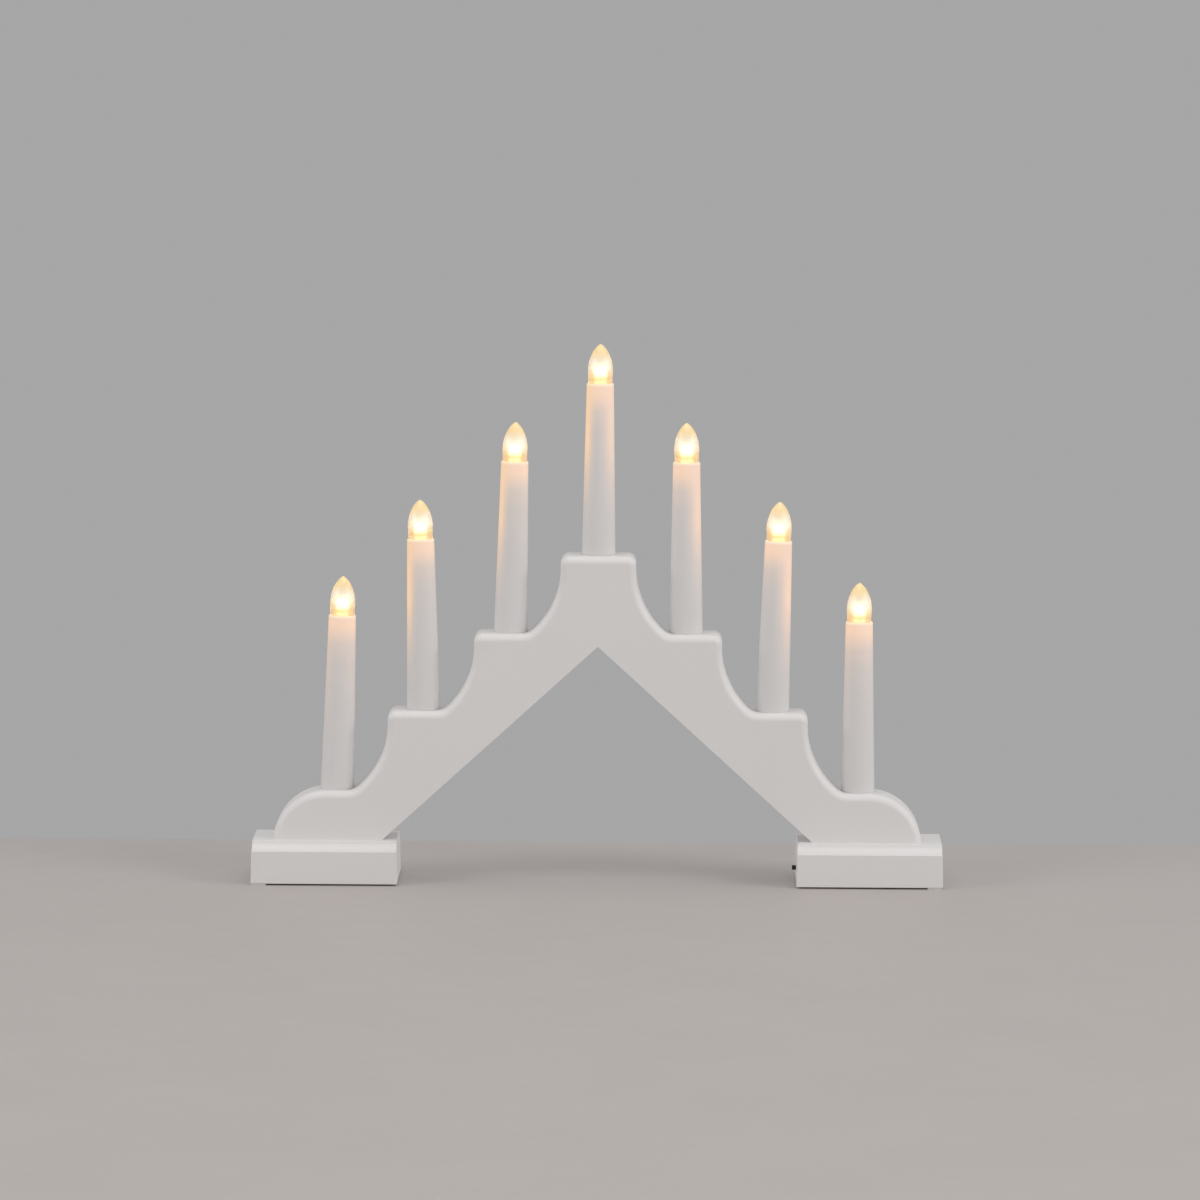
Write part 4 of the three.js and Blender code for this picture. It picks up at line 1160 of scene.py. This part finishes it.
class CANDLESTICK_OT_candles(bpy.types.Operator):
    """Model one candle tube and stand seven copies in their sockets"""

    bl_idname = "candlestick.candles"
    bl_label = "Candle tubes"

    def tube(self):
        """The tapered tube from its flange to its rim, with the ledge that its holder rests on."""
        candle = sizes("candle")
        height, sink, wall = candle.height, candle.sink, candle.wall
        foot, rim = candle.foot_radius, candle.rim_round
        taper = (foot - candle.top_radius) / height
        mouth, turn = candle.top_radius - wall, MOUTH_ROUND * MM
        ledge = height - (PLUG_LENGTH + HOLDER_THICKNESS + 2 * HOLDER_PLAY) * MM
        edge = foot - taper * (height - rim)
        pen = Pen("candle_1", foot, -sink)
        pen.line(foot, 0)
        for share in (0.2, 0.4, 0.6, 0.8, 0.9):
            pen.line(foot - taper * height * share, height * share)
        pen.line(edge, height - rim)
        pen.curve((edge, height), (edge - rim, height), 6)
        pen.line(mouth + turn, height)
        pen.curve((mouth, height), (mouth, height - turn), 2)
        pen.line(mouth, ledge)
        pen.line(mouth - LEDGE * MM, ledge)
        pen.line(foot - wall, -sink)
        pen.line(foot, -sink)
        return pen.lathe(candle.sides)

    def add_flange(self, tube):
        """The flange under the step that keeps the candle in its socket."""
        candle = sizes("candle")
        low, high = box_of("candle_tube_7")
        bottom = -candle.sink / MM
        near, far = (-FLANGE_HALF, low.y, bottom), (FLANGE_HALF, high.y, bottom + FLANGE_THICKNESS)
        flange = block("flange", near, far, edge=FLANGE_EDGE)
        radius = (candle.foot_radius - candle.wall) / MM
        start, end = bottom - OVERRUN, bottom + FLANGE_THICKNESS + OVERRUN
        bore = rod("bore", radius, (0, 0, start), (0, 0, end), candle.sides)
        combine(flange, [bore], "DIFFERENCE")
        combine(tube, [flange], "UNION")

    def execute(self, context):
        candle = sizes("candle")
        first = self.tube()
        self.add_flange(first)
        tidy(first)
        paint_glow(first, 0, candle.height, candle.foot_radius)
        pieces = stand_copies(first, "candle", "candle_plastic", "candle_tube")
        # UV shares for the painted streaks of lamp light on each candle's sides
        for piece, streaks in zip(pieces, PAINTED_GLOW_SIDES):
            paint(piece, "streaks", lambda point: streaks)
        return {"FINISHED"}


class CANDLESTICK_OT_flames(bpy.types.Operator):
    """Model one clear flame and set seven copies in their tubes"""

    bl_idname = "candlestick.flames"
    bl_label = "Flames"

    def flame(self, bore, bore_top, tip, plug):
        """The outline from the plug's foot over the band and the tip, and back down the bore."""
        candle = sizes("candle")
        height, band, widest = candle.height, candle.band_radius, candle.flame_radius
        end = height - PLUG_LENGTH * MM
        lift, fade = BAND_LIFT * MM, BAND_FADE * MM
        shoulder = height + lift
        band_top = shoulder + BAND_HEIGHT * MM
        pen = Pen("flame_1", bore, end)
        pen.line(plug, end)
        pen.line(plug, shoulder)
        pen.line(band - lift, shoulder)
        pen.curve((band, shoulder), (band, shoulder + lift), 3)
        pen.line(band, shoulder + fade)
        pen.curve((band, band_top - fade), (widest, band_top), 4)
        steps = 20
        for i in range(1, steps):
            turn = QUARTER * i / steps
            radius = widest * math.cos(turn) ** candle.flame_taper
            pen.line(radius, band_top + (tip - band_top) * math.sin(turn))
        pen.line(0, tip)
        pen.line(0, bore_top)
        steps = 8
        for i in range(1, steps + 1):
            turn = QUARTER * (1 - i / steps)
            pen.line(bore * math.cos(turn), bore_top - bore + bore * math.sin(turn))
        pen.line(bore, end)
        return pen.lathe(candle.sides)

    def execute(self, context):
        candle = sizes("candle")
        bore = BORE_RADIUS * MM
        bore_top = candle.height + candle.lamp_rise + BORE_RISE * MM
        tip = candle.height + candle.flame_height
        plug = candle.top_radius - candle.wall - PLUG_PLAY * MM
        first = self.flame(bore, bore_top, tip, plug)
        tidy(first, 40)
        paint_glow(first, candle.height, tip, plug)
        near = 0.05 * MM

        # Marks the bore's faces, where the lamp's light is painted on as glow
        def inside_bore(point):
            inside = math.hypot(point.x, point.y) < bore + near and point.z < bore_top + near
            return float(inside), 0.0

        paint(first, "bore", inside_bore)
        stand_copies(first, "flame", "flame_plastic", "flame_cap")
        return {"FINISHED"}


class CANDLESTICK_OT_lamps(bpy.types.Operator):
    """Model one lamp and set seven copies on their holders"""

    bl_idname = "candlestick.lamps"
    bl_label = "Lamps"

    def execute(self, context):
        candle = sizes("candle")
        radius, collar = candle.lamp_radius, candle.lamp_radius + COLLAR * MM
        top = candle.height + candle.lamp_rise
        base = top - candle.lamp_height
        pen = Pen("lamp_1", 0, base)
        pen.line(collar, base)
        pen.line(collar, base + COLLAR_HEIGHT * MM)
        pen.line(radius, base + (COLLAR_HEIGHT + 0.1) * MM)
        pen.line(radius, top - radius)
        steps = 12
        for i in range(1, steps + 1):
            turn = QUARTER * i / steps
            pen.line(radius * math.cos(turn), top - radius + radius * math.sin(turn))
        first = pen.lathe(40)
        tidy(first)
        end, start = base / MM - LEAD_LENGTH, base / MM + COLLAR
        leads = [
            block("lead", (x - LEAD_HALF, -LEAD_HALF, end), (x + LEAD_HALF, LEAD_HALF, start), LEAD_EDGE, 1)
            for x in (-LEAD_ASIDE, LEAD_ASIDE)
        ]
        combine(first, leads, "UNION")
        paint_glow(first, base, top, radius)
        stand_copies(first, "lamp", "lamp_lens", "led")
        return {"FINISHED"}


class CANDLESTICK_OT_screws(bpy.types.Operator):
    """Model one cross-head screw and drive copies into the arch and the feet"""

    bl_idname = "candlestick.screws"
    bl_label = "Screws"

    def screw(self, name, tall):
        """A screw on the origin with its head below it and its shank up, its height in metres."""
        flat, kink, rim, seat = (radius * MM for radius in HEAD_RADII)
        shank, root, pitch = SHANK_RADIUS * MM, ROOT_RADIUS * MM, THREAD_PITCH * MM
        head = -HEAD_HEIGHT * MM
        pen = Pen(name, 0, head)
        pen.line(flat, head)
        pen.curve((kink, head), (rim, head + HEAD_CROWN * MM), 3)
        pen.line(seat, 0)
        pen.line(shank, 0)
        for i in range(int((tall - THREAD_STOP * MM) / pitch)):
            pen.line(root, (i + 0.5) * pitch)
            pen.line(shank, (i + 1) * pitch)
        pen.line(TIP_RADIUS * MM, tall - TIP_LENGTH * MM)
        pen.line(0, tall)
        piece = pen.lathe(32)
        long, wide = SLOT_HALF_LENGTH, SLOT_HALF_WIDTH
        bottom = -HEAD_HEIGHT - OVERRUN
        for x, y in ((long, wide), (wide, long)):
            slot = block("slot", (-x, -y, bottom), (x, y, SLOT_BOTTOM), edge=SLOT_EDGE, segments=1)
            combine(piece, [slot], "DIFFERENCE")
        tidy(piece)
        return piece

    def execute(self, context):
        # The arch's screws point to the front, the feet's point up
        for label, count, axis, turn, way in (
            ("arch_screw", 6, 1, Matrix.Rotation(QUARTER, 4, "X"), -1),
            ("foot_screw", 4, 2, Matrix.Identity(4), 1),
        ):
            low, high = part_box(f"{label}_1")
            first = self.screw(f"{label}_body_1", high[axis] - low[axis] - HEAD_HEIGHT * MM)
            for i, piece in enumerate(copies_of(first, f"{label}_body", count)):
                node = f"{label}_{i + 1}"
                low, high = (Vector(corner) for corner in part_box(node))
                seat = (low + high) / 2
                head_end = low[axis] if way > 0 else high[axis]
                seat[axis] = head_end + way * HEAD_HEIGHT * MM
                spin = Matrix.Rotation(math.radians(FIRST_TURN + NEXT_TURN * i), 4, "Z")
                piece.data.transform(Matrix.Translation(seat) @ turn @ spin)
                finish_piece(piece, "bright_steel", "candlestick", node)
        return {"FINISHED"}


class CANDLESTICK_OT_switch(bpy.types.Operator):
    """Model the black slider of the switch"""

    bl_idname = "candlestick.switch"
    bl_label = "Switch slider"

    def execute(self, context):
        low, high = box_of("switch_slider")
        middle_y, middle_z = (low.y + high.y) / 2, (low.z + high.z) / 2
        shoe_x = high.x - SHOE_DEPTH
        shoe = block("switch_knob", (shoe_x, low.y, low.z), high, edge=0.15)
        near = (low.x, middle_y - NUB_HALF, middle_z - NUB_HALF)
        far = (shoe_x + NUB_SINK, middle_y + NUB_HALF, middle_z + NUB_HALF)
        combine(shoe, [block("nub", near, far, edge=0.2, segments=3)], "UNION")
        tidy(shoe)
        finish_piece(shoe, "black_plastic", "switch_slider", "switch_slider")
        return {"FINISHED"}


# The parts inside the mouldings, by finish
INNER_FINISHES = {
    "holder_plastic": [f"led_holder_{i}" for i in range(1, 8)],
    "cell_sleeve": [f"battery_{i}" for i in range(1, 4)],
    "contact_metal": [f"{name}_contact" for name in ("positive", "negative", "outer_link", "inner_link")],
    "switch_metal": ["switch_body"],
    "board_resin": ["circuit_board"],
    "wire_sheath": ["wiring_loom", "positive_lead"],
}


class CANDLESTICK_OT_inner(bpy.types.Operator):
    """Give the parts inside the mouldings their finishes"""

    bl_idname = "candlestick.inner"
    bl_label = "Inner finishes"

    def execute(self, context):
        for material, nodes in INNER_FINISHES.items():
            for node in nodes:
                coat(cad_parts[node], material)
        return {"FINISHED"}


class CANDLESTICK_OT_stage(bpy.types.Operator):
    """Set the table, the soft light and the camera"""

    bl_idname = "candlestick.stage"
    bl_label = "Stage"

    def table(self):
        stage = sizes("stage")
        half, back = stage.table_width / 2 / MM, stage.table_back / MM
        front, bottom = back - stage.table_depth / MM, -stage.table_thickness / MM
        edge = stage.table_edge / MM
        piece = block("table_top", (-half, front, bottom), (half, back, 0), edge, segments=4)
        bpy.ops.object.shade_smooth_by_angle(angle=math.radians(30))
        coat(piece, "table_paint")

    def lamps(self):
        for name, (place, aim, (width, depth), power) in LAMPS.items():
            deselect()
            bpy.ops.object.light_add(type="AREA", location=place)
            lamp = bpy.context.object
            lamp.name = name
            lamp.data.shape = "RECTANGLE"
            lamp.data.size, lamp.data.size_y = width, depth
            lamp.data.energy = power
            way = Vector((0, 0, aim)) - Vector(place)
            lamp.rotation_euler = way.to_track_quat("-Z", "Y").to_euler()

    def world(self):
        """Even light from all round; the camera, mirrors and clear plastic see the plain wall instead."""
        made = bpy.data.worlds.new("soft_room")
        bpy.context.scene.world = made
        made.use_nodes = True
        tree = made.node_tree
        link = tree.links.new
        light = tree.nodes["Background"]
        light.inputs["Color"].default_value = (*ROOM_LIGHT, 1.0)
        light.inputs["Strength"].default_value = ROOM_STRENGTH
        wall = tree.nodes.new("ShaderNodeBackground")
        wall.inputs["Color"].default_value = (*sizes("finishes").wall, 1.0)
        rays = tree.nodes.new("ShaderNodeLightPath").outputs
        seen = rays["Is Camera Ray"]
        for ray in ("Is Glossy Ray", "Is Transmission Ray"):
            either = tree.nodes.new("ShaderNodeMath")
            either.operation = "MAXIMUM"
            link(seen, either.inputs[0])
            link(rays[ray], either.inputs[1])
            seen = either.outputs[0]
        mix = tree.nodes.new("ShaderNodeMixShader")
        link(seen, mix.inputs[0])
        link(light.outputs[0], mix.inputs[1])
        link(wall.outputs[0], mix.inputs[2])
        link(mix.outputs[0], tree.nodes["World Output"].inputs["Surface"])

    def camera(self):
        stage = sizes("stage")
        deselect()
        bpy.ops.object.camera_add(location=(stage.camera_side, -stage.distance, stage.camera_height))
        camera = bpy.context.object
        camera.name = "camera"
        camera.data.sensor_width = 36
        camera.data.lens = stage.lens
        camera.data.clip_start, camera.data.clip_end = 0.1, 20
        yaw = Quaternion((0, 0, 1), math.radians(stage.yaw))
        pitch = Quaternion((1, 0, 0), math.radians(stage.pitch))
        roll = Quaternion((0, 0, 1), math.radians(stage.roll))
        camera.rotation_mode = "QUATERNION"
        camera.rotation_quaternion = yaw @ pitch @ roll
        bpy.context.scene.camera = camera

    def execute(self, context):
        context.scene.view_settings.view_transform = "Standard"
        self.table()
        self.world()
        self.lamps()
        self.camera()
        return {"FINISHED"}


OPERATORS = (
    CANDLESTICK_OT_stage,
    CANDLESTICK_OT_arch,
    CANDLESTICK_OT_feet,
    CANDLESTICK_OT_plates,
    CANDLESTICK_OT_candles,
    CANDLESTICK_OT_flames,
    CANDLESTICK_OT_lamps,
    CANDLESTICK_OT_screws,
    CANDLESTICK_OT_switch,
    CANDLESTICK_OT_inner,
)


class CANDLESTICK_PT_sidebar(bpy.types.Panel):
    """Lists the sizes and the pieces of the candlestick"""

    bl_idname = "CANDLESTICK_PT_sidebar"
    bl_label = "Advent Candlestick"
    bl_space_type = "VIEW_3D"
    bl_region_type = "UI"
    bl_category = "Candlestick"

    def draw(self, context):
        for operator in OPERATORS:
            self.layout.operator(operator.bl_idname)
        for group in GROUPS:
            box = self.layout.box()
            settings = sizes(group)
            for name in settings.__annotations__:
                box.prop(settings, name)


GROUPS = {
    "arch": ArchSizes,
    "foot": FootSizes,
    "candle": CandleSizes,
    "finishes": Finishes,
    "stage": StageSizes,
}
CLASSES = (*GROUPS.values(), *OPERATORS, CANDLESTICK_PT_sidebar)


def register():
    for item in CLASSES:
        bpy.utils.register_class(item)
    for group, item in GROUPS.items():
        setattr(bpy.types.Scene, "candlestick_" + group, PointerProperty(type=item))


def unregister():
    for group in GROUPS:
        delattr(bpy.types.Scene, "candlestick_" + group)
    for item in reversed(CLASSES):
        bpy.utils.unregister_class(item)


def main():
    register()
    for operator in OPERATORS:
        group, name = operator.bl_idname.split(".")
        getattr(getattr(bpy.ops, group), name)()


if __name__ == "__main__":
    main()
